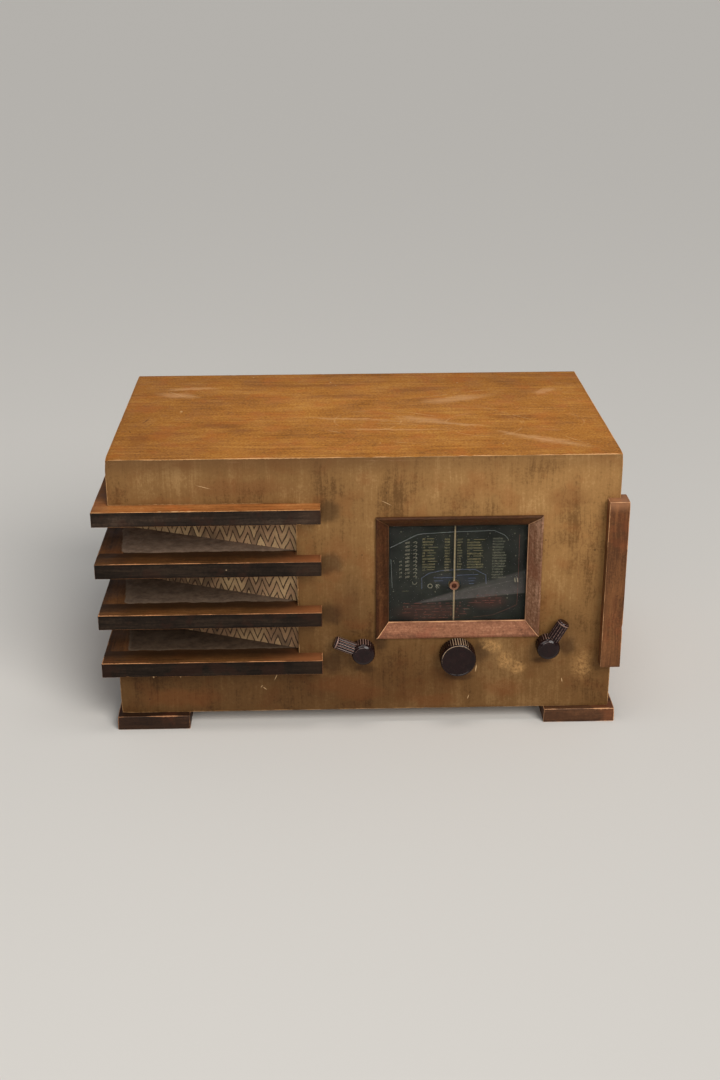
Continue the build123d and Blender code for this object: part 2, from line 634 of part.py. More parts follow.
# ================================================================= knobs
# tuning knob: fluted skirt, bevelled front ring, shallow dished face, blind bore
with BuildPart() as tuning_knob:
    with BuildSketch(facing(KNOB_BACK, TUNE_X, TUNE_Z)):
        Circle(TUNE_R)
        with PolarLocations(TUNE_R + 0.25, 44):
            Circle(0.75, mode=Mode.SUBTRACT)
    extrude(amount=10.4)
    with BuildSketch(Plane(origin=at(TUNE_X, 0, TUNE_Z), x_dir=(0, 1, 0), z_dir=(1, 0, 0))):
        with BuildLine():
            Polyline((-12.0, 0), (-12.0, TUNE_R), (-13.4, TUNE_R), (-16.2, TUNE_R - 1.6), (KNOB_FRONT, TUNE_R - 3.4),
                     (-16.9, TUNE_R - 4.6), (-17.1, 0), close=True)
        make_face()
    revolve(axis=Axis(at(TUNE_X, 0, TUNE_Z), (0, 1, 0)))
    with BuildSketch(facing(0, TUNE_X, TUNE_Z)):
        Circle(SPINDLE_R)
    extrude(amount=13.0, mode=Mode.SUBTRACT)
tuning_knob.part.label = "tuning_knob"
export_step(tuning_knob.part, "parts/tuning_knob.step")

# lever knobs: fluted hub with a smooth cap and one fluted round arm
for knob_name, kx, kz, arm in (("volume_knob", VOL_X, VOL_Z, VOL_ARM), ("waveband_knob", BAND_X, BAND_Z, BAND_ARM)):
    with BuildPart() as lever_knob:
        with BuildSketch(facing(KNOB_BACK, kx, kz)):
            Circle(HUB_R)
            with PolarLocations(HUB_R + 0.25, 28):
                Circle(0.75, mode=Mode.SUBTRACT)
        extrude(amount=10.4)
        with BuildSketch(Plane(origin=at(kx, 0, kz), x_dir=(0, 1, 0), z_dir=(1, 0, 0))):
            with BuildLine():
                Polyline((-12.0, 0), (-12.0, HUB_R), (-13.6, HUB_R), (-15.4, HUB_R - 1.3), (-15.8, HUB_R - 1.3), (-16.9, HUB_R - 3.4),
                         (KNOB_FRONT, 4.0), (KNOB_FRONT, 0), close=True)
            make_face()
        revolve(axis=Axis(at(kx, 0, kz), (0, 1, 0)))
        reach = (cos(radians(arm)), 0, sin(radians(arm)))
        with BuildSketch(Plane(origin=at(kx + 4 * reach[0], KNOB_MID, kz + 4 * reach[2]), x_dir=(0, 1, 0), z_dir=reach)):
            Circle(ARM_R)
            with PolarLocations(ARM_R + 0.2, 18):
                Circle(0.55, mode=Mode.SUBTRACT)
        extrude(amount=ARM_L - 4 - 1.5)
        with BuildSketch(Plane(origin=at(kx + (ARM_L - 1.5) * reach[0], KNOB_MID, kz + (ARM_L - 1.5) * reach[2]), x_dir=(0, 1, 0), z_dir=reach)):
            Circle(ARM_R)
        extrude(amount=1.5, taper=30)
        with BuildSketch(facing(0, kx, kz)):
            Circle(SPINDLE_R)
        extrude(amount=13.0, mode=Mode.SUBTRACT)
    lever_knob.part.label = knob_name
    export_step(lever_knob.part, f"parts/{knob_name}.step")

# ================================================================= chassis and electrics
APRON = CH_Y0 + CH_T
VOL_BUSH_R, BAND_BUSH_R = 4.7, 4.7
with BuildPart() as chassis:
    with BuildSketch(level(CH_Z0)):
        with Locations((CH_X0, CH_Y0)):
            Rectangle(CH_X1 - CH_X0, CH_Y1 - CH_Y0, align=LOW)
    extrude(amount=CH_Z1 - CH_Z0)
    with BuildSketch(level(CH_Z0 + CH_T)):
        with Locations((CH_X0 + CH_T, CH_Y0 + CH_T)):
            Rectangle(CH_X1 - CH_X0 - 2 * CH_T, CH_Y1 - CH_Y0 - 2 * CH_T, align=LOW)
    extrude(amount=CH_Z1 - CH_Z0 - 2 * CH_T, mode=Mode.SUBTRACT)
    with BuildSketch(level(CH_Z0)):
        with Locations((CH_X0 + 18, CH_Y0 + 14)):
            Rectangle(CH_X1 - CH_X0 - 36, CH_Y1 - CH_Y0 - 28, align=LOW)
    extrude(amount=CH_T, mode=Mode.SUBTRACT)
    with BuildSketch(level(CH_Z0)):
        with Locations(*BOLTS):
            Circle(2.5)
    extrude(amount=CH_T, mode=Mode.SUBTRACT)
    with BuildSketch(facing(APRON)):
        with Locations((TUNE_X, TUNE_Z)):
            Circle(SPINDLE_R + RUN)
        with Locations((VOL_X, VOL_Z)):
            Circle(VOL_BUSH_R)
        with Locations((BAND_X, BAND_Z)):
            Circle(BAND_BUSH_R)
    extrude(amount=CH_T, mode=Mode.SUBTRACT)
chassis.part.label = "chassis"
export_step(chassis.part, "parts/chassis.step")

with BuildPart() as chassis_bolts:
    with BuildSketch(level(H_FEET - 3.0)):
        with Locations(*BOLTS):
            RegularPolygon(5.0, 6)
    extrude(amount=3.0)
    with BuildSketch(level(H_FEET)):
        with Locations(*BOLTS):
            Circle(2.5)
    extrude(amount=T_BOTTOM + CH_T)
    with BuildSketch(level(CH_Z0 + CH_T)):
        with Locations(*BOLTS):
            RegularPolygon(4.6, 6)
    extrude(amount=3.5)
chassis_bolts.part.label = "chassis_bolts"
export_step(chassis_bolts.part, "parts/chassis_bolts.step")

# volume control: body behind the apron, threaded bush and nut in front of it
with BuildPart() as volume_control:
    with BuildSketch(facing(APRON + 15.0, VOL_X, VOL_Z)):
        Circle(14.0)
    extrude(amount=15.0)
    with BuildSketch(facing(APRON, VOL_X, VOL_Z)):
        Circle(VOL_BUSH_R)
    extrude(amount=8.0)
    with BuildSketch(facing(CH_Y0, VOL_X, VOL_Z)):
        RegularPolygon(8.0, 6)
    extrude(amount=2.4)
    with BuildSketch(facing(APRON + 15.0, VOL_X, VOL_Z)):
        with Locations((0, -16)):
            Rectangle(20, 8)
    extrude(amount=1.2)
    with BuildSketch(facing(APRON + 9.0, VOL_X, VOL_Z)):
        Circle(SPINDLE_R + RUN)
    extrude(amount=30.0, mode=Mode.SUBTRACT)
volume_control.part.label = "volume_control"
export_step(volume_control.part, "parts/volume_control.step")

with BuildPart() as volume_spindle:
    with BuildSketch(facing(APRON + 8.5, VOL_X, VOL_Z)):
        Circle(SPINDLE_R)
    extrude(amount=APRON + 8.5 + 13.0)
volume_spindle.part.label = "volume_spindle"
export_step(volume_spindle.part, "parts/volume_spindle.step")

# waveband switch: indexing plate, bush and nut, two wafers on a pair of rods
with BuildPart() as waveband_switch:
    with BuildSketch(facing(APRON + 2.0, BAND_X, BAND_Z)):
        RectangleRounded(32.0, 24.0, 3.0)
    extrude(amount=2.0)
    with BuildSketch(facing(APRON, BAND_X, BAND_Z)):
        Circle(BAND_BUSH_R)
    extrude(amount=8.0)
    with BuildSketch(facing(CH_Y0, BAND_X, BAND_Z)):
        RegularPolygon(8.0, 6)
    extrude(amount=2.4)
    for y in (APRON + 22.0, APRON + 44.0):
        with BuildSketch(facing(y, BAND_X, BAND_Z)):
            Circle(15.0)
            with Locations((-15.0, 0), (15.0, 0)):
                Circle(3.5)
        extrude(amount=1.6)
    with BuildSketch(facing(APRON + 48.0, BAND_X, BAND_Z)):
        with Locations((-14.0, 0), (14.0, 0)):
            Circle(1.6)
    extrude(amount=48.0)
    with BuildSketch(facing(APRON + 50.0, BAND_X, BAND_Z)):
        Circle(SPINDLE_R + RUN)
    extrude(amount=70.0, mode=Mode.SUBTRACT)
waveband_switch.part.label = "waveband_switch"
export_step(waveband_switch.part, "parts/waveband_switch.step")

with BuildPart() as waveband_spindle:
    with BuildSketch(facing(APRON + 47.0, BAND_X, BAND_Z)):
        Circle(SPINDLE_R)
    extrude(amount=APRON + 47.0 + 13.0)
waveband_spindle.part.label = "waveband_spindle"
export_step(waveband_spindle.part, "parts/waveband_spindle.step")

# valves: moulded bases standing on the chassis, glass bulbs in them
VALVES = [(150.0, 88.0), (192.0, 172.0), (148.0, 212.0), (-12.0, 215.0), (-18.0, 150.0)]
with BuildPart() as valve_bases:
    with BuildSketch(level(CH_Z1)):
        with Locations(*VALVES):
            Circle(18.0)
    extrude(amount=7.0)
    with BuildSketch(level(CH_Z1 + 7.0)):
        with Locations(*VALVES):
            Circle(15.5)
    extrude(amount=24.0)
    with BuildSketch(level(CH_Z1 + 27.0)):
        with Locations(*VALVES):
            Circle(13.0)
    extrude(amount=4.0, mode=Mode.SUBTRACT)
valve_bases.part.label = "valve_bases"
export_step(valve_bases.part, "parts/valve_bases.step")

with BuildPart() as valve_bulbs:
    for vx, vy in VALVES:
        with BuildSketch(flank(vx, vy, CH_Z1 + 27.0)):
            with BuildLine():
                Polyline((0, 0), (13.0, 0), (13.0, 6.0), (15.6, 12.0), (19.0, 19.0), (21.2, 27.0), (21.2, 33.0), (19.4, 42.0),
                         (16.2, 50.0), (14.5, 56.0), (14.0, 64.0), (13.0, 70.0), (10.0, 75.5), (5.5, 79.0), (0, 80.0), close=True)
            make_face()
        revolve(axis=Axis(at(vx, vy, 0), (0, 0, 1)))
valve_bulbs.part.label = "valve_bulbs"
export_step(valve_bulbs.part, "parts/valve_bulbs.step")

with BuildPart() as if_cans:
    with BuildSketch(level(CH_Z1)):
        with Locations((196.0, 118.0), (152.0, 150.0)):
            RectangleRounded(36.0, 36.0, 4.0)
    extrude(amount=72.0)
    fillet(if_cans.faces().sort_by(Axis.Z)[-1].edges() + if_cans.faces().sort_by(Axis.Z)[-2].edges(), radius=1.5)
if_cans.part.label = "if_cans"
export_step(if_cans.part, "parts/if_cans.step")

# mains transformer: laminated core round a wound bobbin
MT_X, MT_Y = 66.0, 198.0
with BuildPart() as mains_transformer:
    with BuildSketch(level(CH_Z1)):
        with Locations((MT_X, MT_Y)):
            Rectangle(84.0, 34.0)
    extrude(amount=70.0)
    with BuildSketch(level(CH_Z1 + 14.0)):
        with Locations((MT_X, MT_Y)):
            RectangleRounded(56.0, 62.0, 6.0)
    extrude(amount=42.0)
    with BuildSketch(level(CH_Z1)):
        with Locations((MT_X, MT_Y)):
            Rectangle(84.0, 50.0)
    extrude(amount=2.0)
mains_transformer.part.label = "mains_transformer"
export_step(mains_transformer.part, "parts/mains_transformer.step")

with BuildPart() as output_transformer:
    with BuildSketch(level(CH_Z1)):
        with Locations((20.0, 88.0)):
            Rectangle(46.0, 20.0)
    extrude(amount=38.0)
    with BuildSketch(level(CH_Z1 + 8.0)):
        with Locations((20.0, 88.0)):
            RectangleRounded(30.0, 34.0, 4.0)
    extrude(amount=22.0)
output_transformer.part.label = "output_transformer"
export_step(output_transformer.part, "parts/output_transformer.step")

with BuildPart() as smoothing_capacitor:
    with BuildSketch(level(CH_Z1)):
        with Locations((22.0, 136.0)):
            Circle(17.5)
    extrude(amount=95.0)
    fillet(smoothing_capacitor.faces().sort_by(Axis.Z)[-1].edges(), radius=2.0)
    with BuildSketch(level(CH_Z1)):
        with Locations((22.0, 136.0)):
            Circle(21.0)
    extrude(amount=4.0)
smoothing_capacitor.part.label = "smoothing_capacitor"
export_step(smoothing_capacitor.part, "parts/smoothing_capacitor.step")

# aerial, earth and pick-up sockets on the back apron, seen through the cover's window
with BuildPart() as terminal_strip:
    with BuildSketch(facing(CH_Y1 + 3.0)):
        with Locations((20, 52)):
            RectangleRounded(76.0, 18.0, 2.0)
    extrude(amount=3.0)
    with BuildSketch(facing(CH_Y1 + 8.0)):
        with Locations((20, 52)):
            with GridLocations(16.0, 0, 4, 1):
                Circle(4.2)
    extrude(amount=5.0)
    with BuildSketch(facing(CH_Y1 + 8.0)):
        with Locations((20, 52)):
            with GridLocations(16.0, 0, 4, 1):
                Circle(2.0)
    extrude(amount=7.0, mode=Mode.SUBTRACT)
terminal_strip.part.label = "terminal_strip"
export_step(terminal_strip.part, "parts/terminal_strip.step")

# rubber grommet where the mains lead enters
with BuildPart() as mains_gland:
    with BuildSketch(Plane(origin=at(GLAND_X, BACK_Y, GLAND_Z), x_dir=(0, 1, 0), z_dir=(1, 0, 0))):
        with BuildLine():
            Polyline((-1.5, 4.0), (-1.5, 9.5), (0, 10.0), (0, 7.0), (BACK_T, 7.0), (BACK_T, 10.0), (REBATE_D, 9.0), (REBATE_D, 4.0), close=True)
        make_face()
    revolve(axis=Axis(at(GLAND_X, BACK_Y, GLAND_Z), (0, 1, 0)))
mains_gland.part.label = "mains_gland"
export_step(mains_gland.part, "parts/mains_gland.step")

print("drive ratio", DRIVE_RATIO, "disc radius", round(DISC_R, 3), "roller radius", round(ROLLER_R, 3))
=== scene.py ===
import math
import random

import bpy
import numpy as np
from mathutils import Matrix, Vector
from mathutils import noise as mnoise


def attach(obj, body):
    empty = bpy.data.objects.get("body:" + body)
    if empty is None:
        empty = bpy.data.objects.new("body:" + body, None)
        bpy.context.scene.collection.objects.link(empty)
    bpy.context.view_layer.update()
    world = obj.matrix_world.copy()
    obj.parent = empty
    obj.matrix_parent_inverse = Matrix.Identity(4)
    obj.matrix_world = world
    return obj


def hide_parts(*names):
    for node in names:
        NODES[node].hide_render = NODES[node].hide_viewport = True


# Tabletop valve radio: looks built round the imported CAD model.
# Working units are millimetres from the cabinet's middle, its front face and the floor.
# Object coordinates are the row frame in metres, so one mapping turns them into those millimetres.
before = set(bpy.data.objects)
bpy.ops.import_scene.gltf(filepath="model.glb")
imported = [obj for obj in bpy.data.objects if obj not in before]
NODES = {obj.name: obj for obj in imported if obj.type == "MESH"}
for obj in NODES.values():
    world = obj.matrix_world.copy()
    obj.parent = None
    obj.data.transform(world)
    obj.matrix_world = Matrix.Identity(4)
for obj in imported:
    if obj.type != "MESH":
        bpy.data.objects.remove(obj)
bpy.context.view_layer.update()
OX, OY = 3.5, -134.5


def row(p):
    return ((p[0] + OX) / 1000.0, (p[1] + OY) / 1000.0, p[2] / 1000.0)


def lin(r, g, b):
    out = []
    for c in (r, g, b):
        c /= 255.0
        out.append(c / 12.92 if c <= 0.04045 else ((c + 0.055) / 1.055) ** 2.4)
    return (out[0], out[1], out[2], 1.0)


# ---------------------------------------------------------------- camera, floor, light
scene = bpy.context.scene
scene.view_settings.view_transform = "Standard"
cam_data = bpy.data.cameras.new("camera")
cam = bpy.data.objects.new("camera", cam_data)
scene.collection.objects.link(cam)
pitch, yaw, roll = 0.3818, 0.0239, 0.0050
fw = Vector((math.sin(yaw) * math.cos(pitch), math.cos(yaw) * math.cos(pitch), -math.sin(pitch)))
rt = Vector((math.cos(yaw), -math.sin(yaw), 0.0))
dn = fw.cross(rt)
r2 = math.cos(roll) * rt + math.sin(roll) * dn
d2 = -math.sin(roll) * rt + math.cos(roll) * dn
rot = Matrix((r2, -d2, -fw)).transposed()
cam.matrix_world = Matrix.Translation((-0.03255, -1.43609, 0.71793)) @ rot.to_4x4()
cam_data.lens = 49.576
cam_data.sensor_width = 36.0
cam_data.clip_start = 0.05
cam_data.clip_end = 100.0
scene.camera = cam


def area(name, loc, target, size, power, colour):
    data = bpy.data.lights.new(name, "AREA")
    data.shape = "RECTANGLE"
    data.size, data.size_y = size
    data.energy = power
    data.color = colour
    ob = bpy.data.objects.new(name, data)
    scene.collection.objects.link(ob)
    ob.location = loc
    ob.rotation_euler = (Vector(target) - Vector(loc)).to_track_quat("-Z", "Y").to_euler()
    return ob


sun_data = bpy.data.lights.new("key", "SUN")
sun_data.energy = 2.7
sun_data.angle = math.radians(34)
sun_data.color = (1.0, 0.975, 0.94)
sun = bpy.data.objects.new("key", sun_data)
scene.collection.objects.link(sun)
sun.rotation_euler = (Vector((0, 0, 0)) - Vector((0.62, -1.15, 0.98))).to_track_quat("-Z", "Y").to_euler()
area("front_fill", (-0.30, -1.95, 0.70), (-0.05, 0, 0.12), (1.1, 0.8), 10.0, (1.0, 0.98, 0.95))
area("top_soft", (0.1, -0.35, 1.9), (0, 0, 0.2), (0.8, 0.5), 7.0, (1.0, 0.98, 0.96))

world = bpy.data.worlds.new("studio")
scene.world = world
world.use_nodes = True
bg = world.node_tree.nodes.get("Background")
bg.inputs["Color"].default_value = (0.93, 0.96, 1.0, 1.0)
bg.inputs["Strength"].default_value = 0.24


# ---------------------------------------------------------------- material building
SOCKET = bpy.types.NodeSocket


class Mat:
    def __init__(self, name, metallic=0.0, coat=0.0, coat_rough=0.15, ior=1.5, spec=0.5, sheen=0.0, rough=0.5):
        self.m = bpy.data.materials.new(name)
        self.m.use_nodes = True
        self.nt = self.m.node_tree
        self.nt.nodes.clear()
        self.out = self.nt.nodes.new("ShaderNodeOutputMaterial")
        self.p = self.nt.nodes.new("ShaderNodeBsdfPrincipled")
        self.nt.links.new(self.p.outputs[0], self.out.inputs["Surface"])
        for key, v in (("Metallic", metallic), ("Coat Weight", coat), ("Coat Roughness", coat_rough), ("IOR", ior),
                       ("Specular IOR Level", spec), ("Sheen Weight", sheen), ("Roughness", rough)):
            self.p.inputs[key].default_value = v
        tc = self.nt.nodes.new("ShaderNodeTexCoord")
        mp = self.nt.nodes.new("ShaderNodeMapping")
        mp.inputs["Location"].default_value = (-OX, -OY, 0.0)
        mp.inputs["Scale"].default_value = (1000.0, 1000.0, 1000.0)
        self.nt.links.new(tc.outputs["Object"], mp.inputs["Vector"])
        self.mm = mp.outputs[0]
        sep = self.nt.nodes.new("ShaderNodeSeparateXYZ")
        self.nt.links.new(self.mm, sep.inputs[0])
        self.x, self.y, self.z = sep.outputs

    def put(self, sock, v):
        if isinstance(v, SOCKET):
            self.nt.links.new(v, sock)
        elif v is not None:
            sock.default_value = v

    def math(self, op, a, b=None, c=None, clamp=False):
        n = self.nt.nodes.new("ShaderNodeMath")
        n.operation = op
        n.use_clamp = clamp
        for i, v in enumerate((a, b, c)):
            self.put(n.inputs[i], v)
        return n.outputs[0]

    def vmath(self, op, a, b=None, scale=None):
        n = self.nt.nodes.new("ShaderNodeVectorMath")
        n.operation = op
        self.put(n.inputs[0], a)
        if b is not None:
            self.put(n.inputs[1], b)
        if scale is not None:
            self.put(n.inputs["Scale"], scale)
        return n.outputs["Value"] if op in ("LENGTH", "DISTANCE", "DOT_PRODUCT") else n.outputs["Vector"]

    def vec(self, x=0.0, y=0.0, z=0.0):
        n = self.nt.nodes.new("ShaderNodeCombineXYZ")
        for i, v in enumerate((x, y, z)):
            self.put(n.inputs[i], v)
        return n.outputs[0]

    def noise(self, v, scale=1.0, detail=3.0, rough=0.5, dist=0.0, color=False):
        n = self.nt.nodes.new("ShaderNodeTexNoise")
        self.put(n.inputs["Vector"], v)
        n.inputs["Scale"].default_value = scale
        n.inputs["Detail"].default_value = detail
        n.inputs["Roughness"].default_value = rough
        n.inputs["Distortion"].default_value = dist
        return n.outputs["Color" if color else 0]

    def vor(self, v, scale=1.0, out="Distance", feature="F1", rnd=1.0):
        n = self.nt.nodes.new("ShaderNodeTexVoronoi")
        n.feature = feature
        self.put(n.inputs["Vector"], v)
        n.inputs["Scale"].default_value = scale
        n.inputs["Randomness"].default_value = rnd
        return n.outputs[out]

    def smooth(self, v, a, b, lo=0.0, hi=1.0):
        n = self.nt.nodes.new("ShaderNodeMapRange")
        n.interpolation_type = "SMOOTHSTEP"
        self.put(n.inputs["Value"], v)
        n.inputs["From Min"].default_value = a
        n.inputs["From Max"].default_value = b
        n.inputs["To Min"].default_value = lo
        n.inputs["To Max"].default_value = hi
        return n.outputs[0]

    def ramp(self, f, stops, interp="LINEAR"):
        n = self.nt.nodes.new("ShaderNodeValToRGB")
        n.color_ramp.interpolation = interp
        els = n.color_ramp.elements
        while len(els) < len(stops):
            els.new(0.5)
        for e, (pos, col) in zip(els, stops):
            e.position = pos
            e.color = col if len(col) == 4 else (*col, 1.0)
        self.put(n.inputs[0], f)
        return n.outputs[0]

    def mix(self, f, a, b, blend="MIX"):
        n = self.nt.nodes.new("ShaderNodeMix")
        n.data_type = "RGBA"
        n.blend_type = blend
        self.put(n.inputs[0], f)
        self.put(n.inputs[6], a)
        self.put(n.inputs[7], b)
        return n.outputs[2]

    def attr(self, name):
        n = self.nt.nodes.new("ShaderNodeAttribute")
        n.attribute_name = name
        return n.outputs["Fac"]

    def blob(self, v, c, r, rot=0.0, axis="y", soft=0.35):
        """1 inside an ellipse in the plane square to axis, fading to 0 at its rim."""
        n = self.nt.nodes.new("ShaderNodeMapping")
        n.vector_type = "TEXTURE"
        big = 1e5
        if axis == "y":
            loc, scl, ang = (c[0], 0, c[1]), (r[0], big, r[1]), (0, -rot, 0)
        elif axis == "z":
            loc, scl, ang = (c[0], c[1], 0), (r[0], r[1], big), (0, 0, rot)
        else:
            loc, scl, ang = (0, c[0], c[1]), (big, r[0], r[1]), (rot, 0, 0)
        n.inputs["Location"].default_value = loc
        n.inputs["Rotation"].default_value = ang
        n.inputs["Scale"].default_value = scl
        self.put(n.inputs["Vector"], v)
        return self.smooth(self.vmath("LENGTH", n.outputs[0]), 1.0, soft)

    def most(self, values):
        out = values[0]
        for v in values[1:]:
            out = self.math("MAXIMUM", out, v)
        return out

    def edge_box(self, lo, hi):
        """Distance in mm to the nearest edge of a box, on its surface."""
        c = tuple((a + b) / 2 for a, b in zip(lo, hi))
        h = tuple((b - a) / 2 for a, b in zip(lo, hi))
        d = self.vmath("SUBTRACT", h, self.vmath("ABSOLUTE", self.vmath("SUBTRACT", self.mm, c)))
        s = self.nt.nodes.new("ShaderNodeSeparateXYZ")
        self.put(s.inputs[0], d)
        a, b, e = s.outputs
        return self.math("MAXIMUM", self.math("MINIMUM", a, b), self.math("MINIMUM", self.math("MAXIMUM", a, b), e))

    def finish(self, color, rough=None, height=None, depth=0.1, strength=1.0):
        self.put(self.p.inputs["Base Color"], color)
        if rough is not None:
            self.put(self.p.inputs["Roughness"], rough)
        if height is not None:
            n = self.nt.nodes.new("ShaderNodeBump")
            n.inputs["Strength"].default_value = strength
            n.inputs["Distance"].default_value = depth / 1000.0
            self.put(n.inputs["Height"], height)
            self.nt.links.new(n.outputs[0], self.p.inputs["Normal"])
        return self.m


AX = {"x": 0, "y": 1, "z": 2}


def stretched(m, v, grain, across, along):
    s = [across] * 3
    s[AX[grain]] = along
    return m.vmath("MULTIPLY", v, tuple(s))


def wood(name, grain, dark, mid, light, seed, edge=None, box=None, bare=None, wear=0.0, wear_mm=0.9, grime=0.25,
         mottle=0.35, fibre=0.5, pores=0.4, rough=(0.42, 0.6), coat=0.1, scratch=0.25, red=None, red_amt=0.35,
         relief=0.06, extra=None, band=0.09, contrast=0.125, ior=1.2, speckle=0.3, banding=0.38):
    """Old varnished wood. grain is the axis it runs along, edge names a mesh attribute with the distance to an edge, or box gives the board."""
    m = Mat(name, coat=coat, coat_rough=0.28, ior=ior)
    v = m.vmath("ADD", m.mm, (seed * 37.1, seed * 17.3, seed * 53.7))
    drift = m.vmath("SCALE", m.vmath("SUBTRACT", m.noise(v, 0.014, 2.0, color=True), (0.5, 0.5, 0.5)), scale=9.0)
    g = m.vmath("ADD", v, drift)
    fine = m.noise(stretched(m, g, grain, 1.5, 0.035), 1.0, 4.0, 0.62)
    hair = m.noise(stretched(m, g, grain, 4.2, 0.09), 1.0, 2.0, 0.5)
    bands = m.noise(stretched(m, g, grain, band, 0.006), 1.0, 4.0, 0.55, 0.4)
    cloud = m.noise(v, 0.018, 5.0, 0.55)
    med = m.noise(stretched(m, g, grain, 0.42, 0.012), 1.0, 5.0, 0.68)
    dots = m.noise(v, 0.45, 4.0, 0.7)
    tone = m.math("ADD", m.math("MULTIPLY", fine, 0.45 * fibre), m.math("MULTIPLY", bands, banding))
    tone = m.math("ADD", tone, m.math("MULTIPLY", cloud, mottle))
    tone = m.math("ADD", tone, m.math("ADD", m.math("MULTIPLY", med, 0.75 * fibre), m.math("MULTIPLY", dots, speckle)))
    mean = 0.5 * (1.2 * fibre + banding + mottle + speckle)
    tone = m.math("SUBTRACT", tone, mean - 0.5)
    col = m.ramp(tone, [(0.50 - contrast, dark), (0.50, mid), (0.50 + contrast, light)], "EASE")
    if red is not None:
        blush = m.smooth(m.noise(v, 0.03, 3.0, 0.6), 0.48, 0.68, 0.0, red_amt)
        col = m.mix(blush, col, red)
    # pores and fibre streaks
    streak = m.smooth(hair, 0.60, 0.74, 0.0, pores)
    col = m.mix(streak, col, tuple(c * 0.45 for c in dark[:3]) + (1.0,))
    glint = m.smooth(hair, 0.40, 0.26, 0.0, pores * 0.35)
    col = m.mix(glint, col, light)
    height = m.math("MULTIPLY", hair, 0.5)
    height = m.math("ADD", height, m.math("MULTIPLY", fine, 0.5))
    gloss = m.smooth(m.noise(v, 0.05, 4.0, 0.6), 0.35, 0.65, rough[0], rough[1])
    gloss = m.math("ADD", gloss, m.math("MULTIPLY", streak, 0.15))
    # fine scratches, in two directions
    if scratch > 0:
        hits = []
        for k, ang in enumerate((0.35, -0.62)):
            mp = m.nt.nodes.new("ShaderNodeMapping")
            mp.inputs["Rotation"].default_value = (ang, ang, ang)
            mp.inputs["Scale"].default_value = (0.03, 1.4, 1.4)
            m.put(mp.inputs["Vector"], v)
            hits.append(m.smooth(m.noise(mp.outputs[0], 1.0 + 0.3 * k, 1.0, 0.5), 0.765, 0.80))
        sparse = m.smooth(m.noise(v, 0.025, 2.0, 0.5), 0.42, 0.62)
        scr = m.math("MULTIPLY", m.most(hits), m.math("MULTIPLY", sparse, scratch))
        col = m.mix(scr, col, bare or light)
        height = m.math("SUBTRACT", height, m.math("MULTIPLY", scr, 1.2))
    # grime in large soft patches
    dirt = m.smooth(m.noise(v, 0.011, 4.0, 0.65), 0.46, 0.72, 0.0, grime)
    col = m.mix(dirt, col, tuple(c * 0.35 for c in dark[:3]) + (1.0,))
    state = {"v": v, "col": col, "height": height, "gloss": gloss}
    if extra is not None:
        extra(m, state)
    col, height, gloss = state["col"], state["height"], state["gloss"]
    if wear > 0 and (edge or box):
        e = m.attr(edge) if edge else m.edge_box(*box)
        rag = m.noise(m.vmath("ADD", m.mm, (seed * 11.0, 5.0, 9.0)), 0.35, 4.0, 0.65)
        patch = m.smooth(m.noise(v, 0.03, 2.0, 0.5), 0.35, 0.60, 0.25, 1.0)
        reach = m.math("MULTIPLY", m.math("MULTIPLY", rag, patch), 2.6 * wear_mm)
        worn = m.smooth(m.math("SUBTRACT", reach, e), 0.0, 0.45 * wear_mm, 0.0, wear)
        col = m.mix(worn, col, bare or light)
        gloss = m.math("ADD", gloss, m.math("MULTIPLY", worn, 0.2))
        rim = m.math("MULTIPLY", m.smooth(e, 4.5, 0.8, 0.0, 0.22), m.math("SUBTRACT", 1.0, worn))
        col = m.mix(rim, col, tuple(c * 0.5 for c in dark[:3]) + (1.0,))
    return m.finish(col, gloss, height, relief)


def metal(name, tint, seed, rough=(0.28, 0.5), grain=None, rust=0.0, relief=0.01, metallic=1.0):
    m = Mat(name, metallic=metallic)
    v = m.vmath("ADD", m.mm, (seed * 13.7, seed * 29.3, seed * 7.1))
    cloud = m.noise(v, 0.06, 5.0, 0.6)
    fine = m.noise(stretched(m, v, grain, 3.0, 0.08) if grain else v, 1.0 if grain else 1.7, 3.0, 0.6)
    tone = m.math("ADD", m.math("MULTIPLY", cloud, 0.6), m.math("MULTIPLY", fine, 0.4))
    col = m.ramp(tone, [(0.3, tuple(c * 0.62 for c in tint[:3])), (0.7, tint)])
    if rust > 0:
        spot = m.smooth(m.noise(v, 0.16, 5.0, 0.7), 0.56, 0.66, 0.0, rust)
        col = m.mix(spot, col, lin(92, 58, 34))
        gl = m.math("ADD", m.smooth(tone, 0.3, 0.7, rough[1], rough[0]), m.math("MULTIPLY", spot, 0.3))
    else:
        gl = m.smooth(tone, 0.3, 0.7, rough[1], rough[0])
    return m.finish(col, gl, fine, relief)


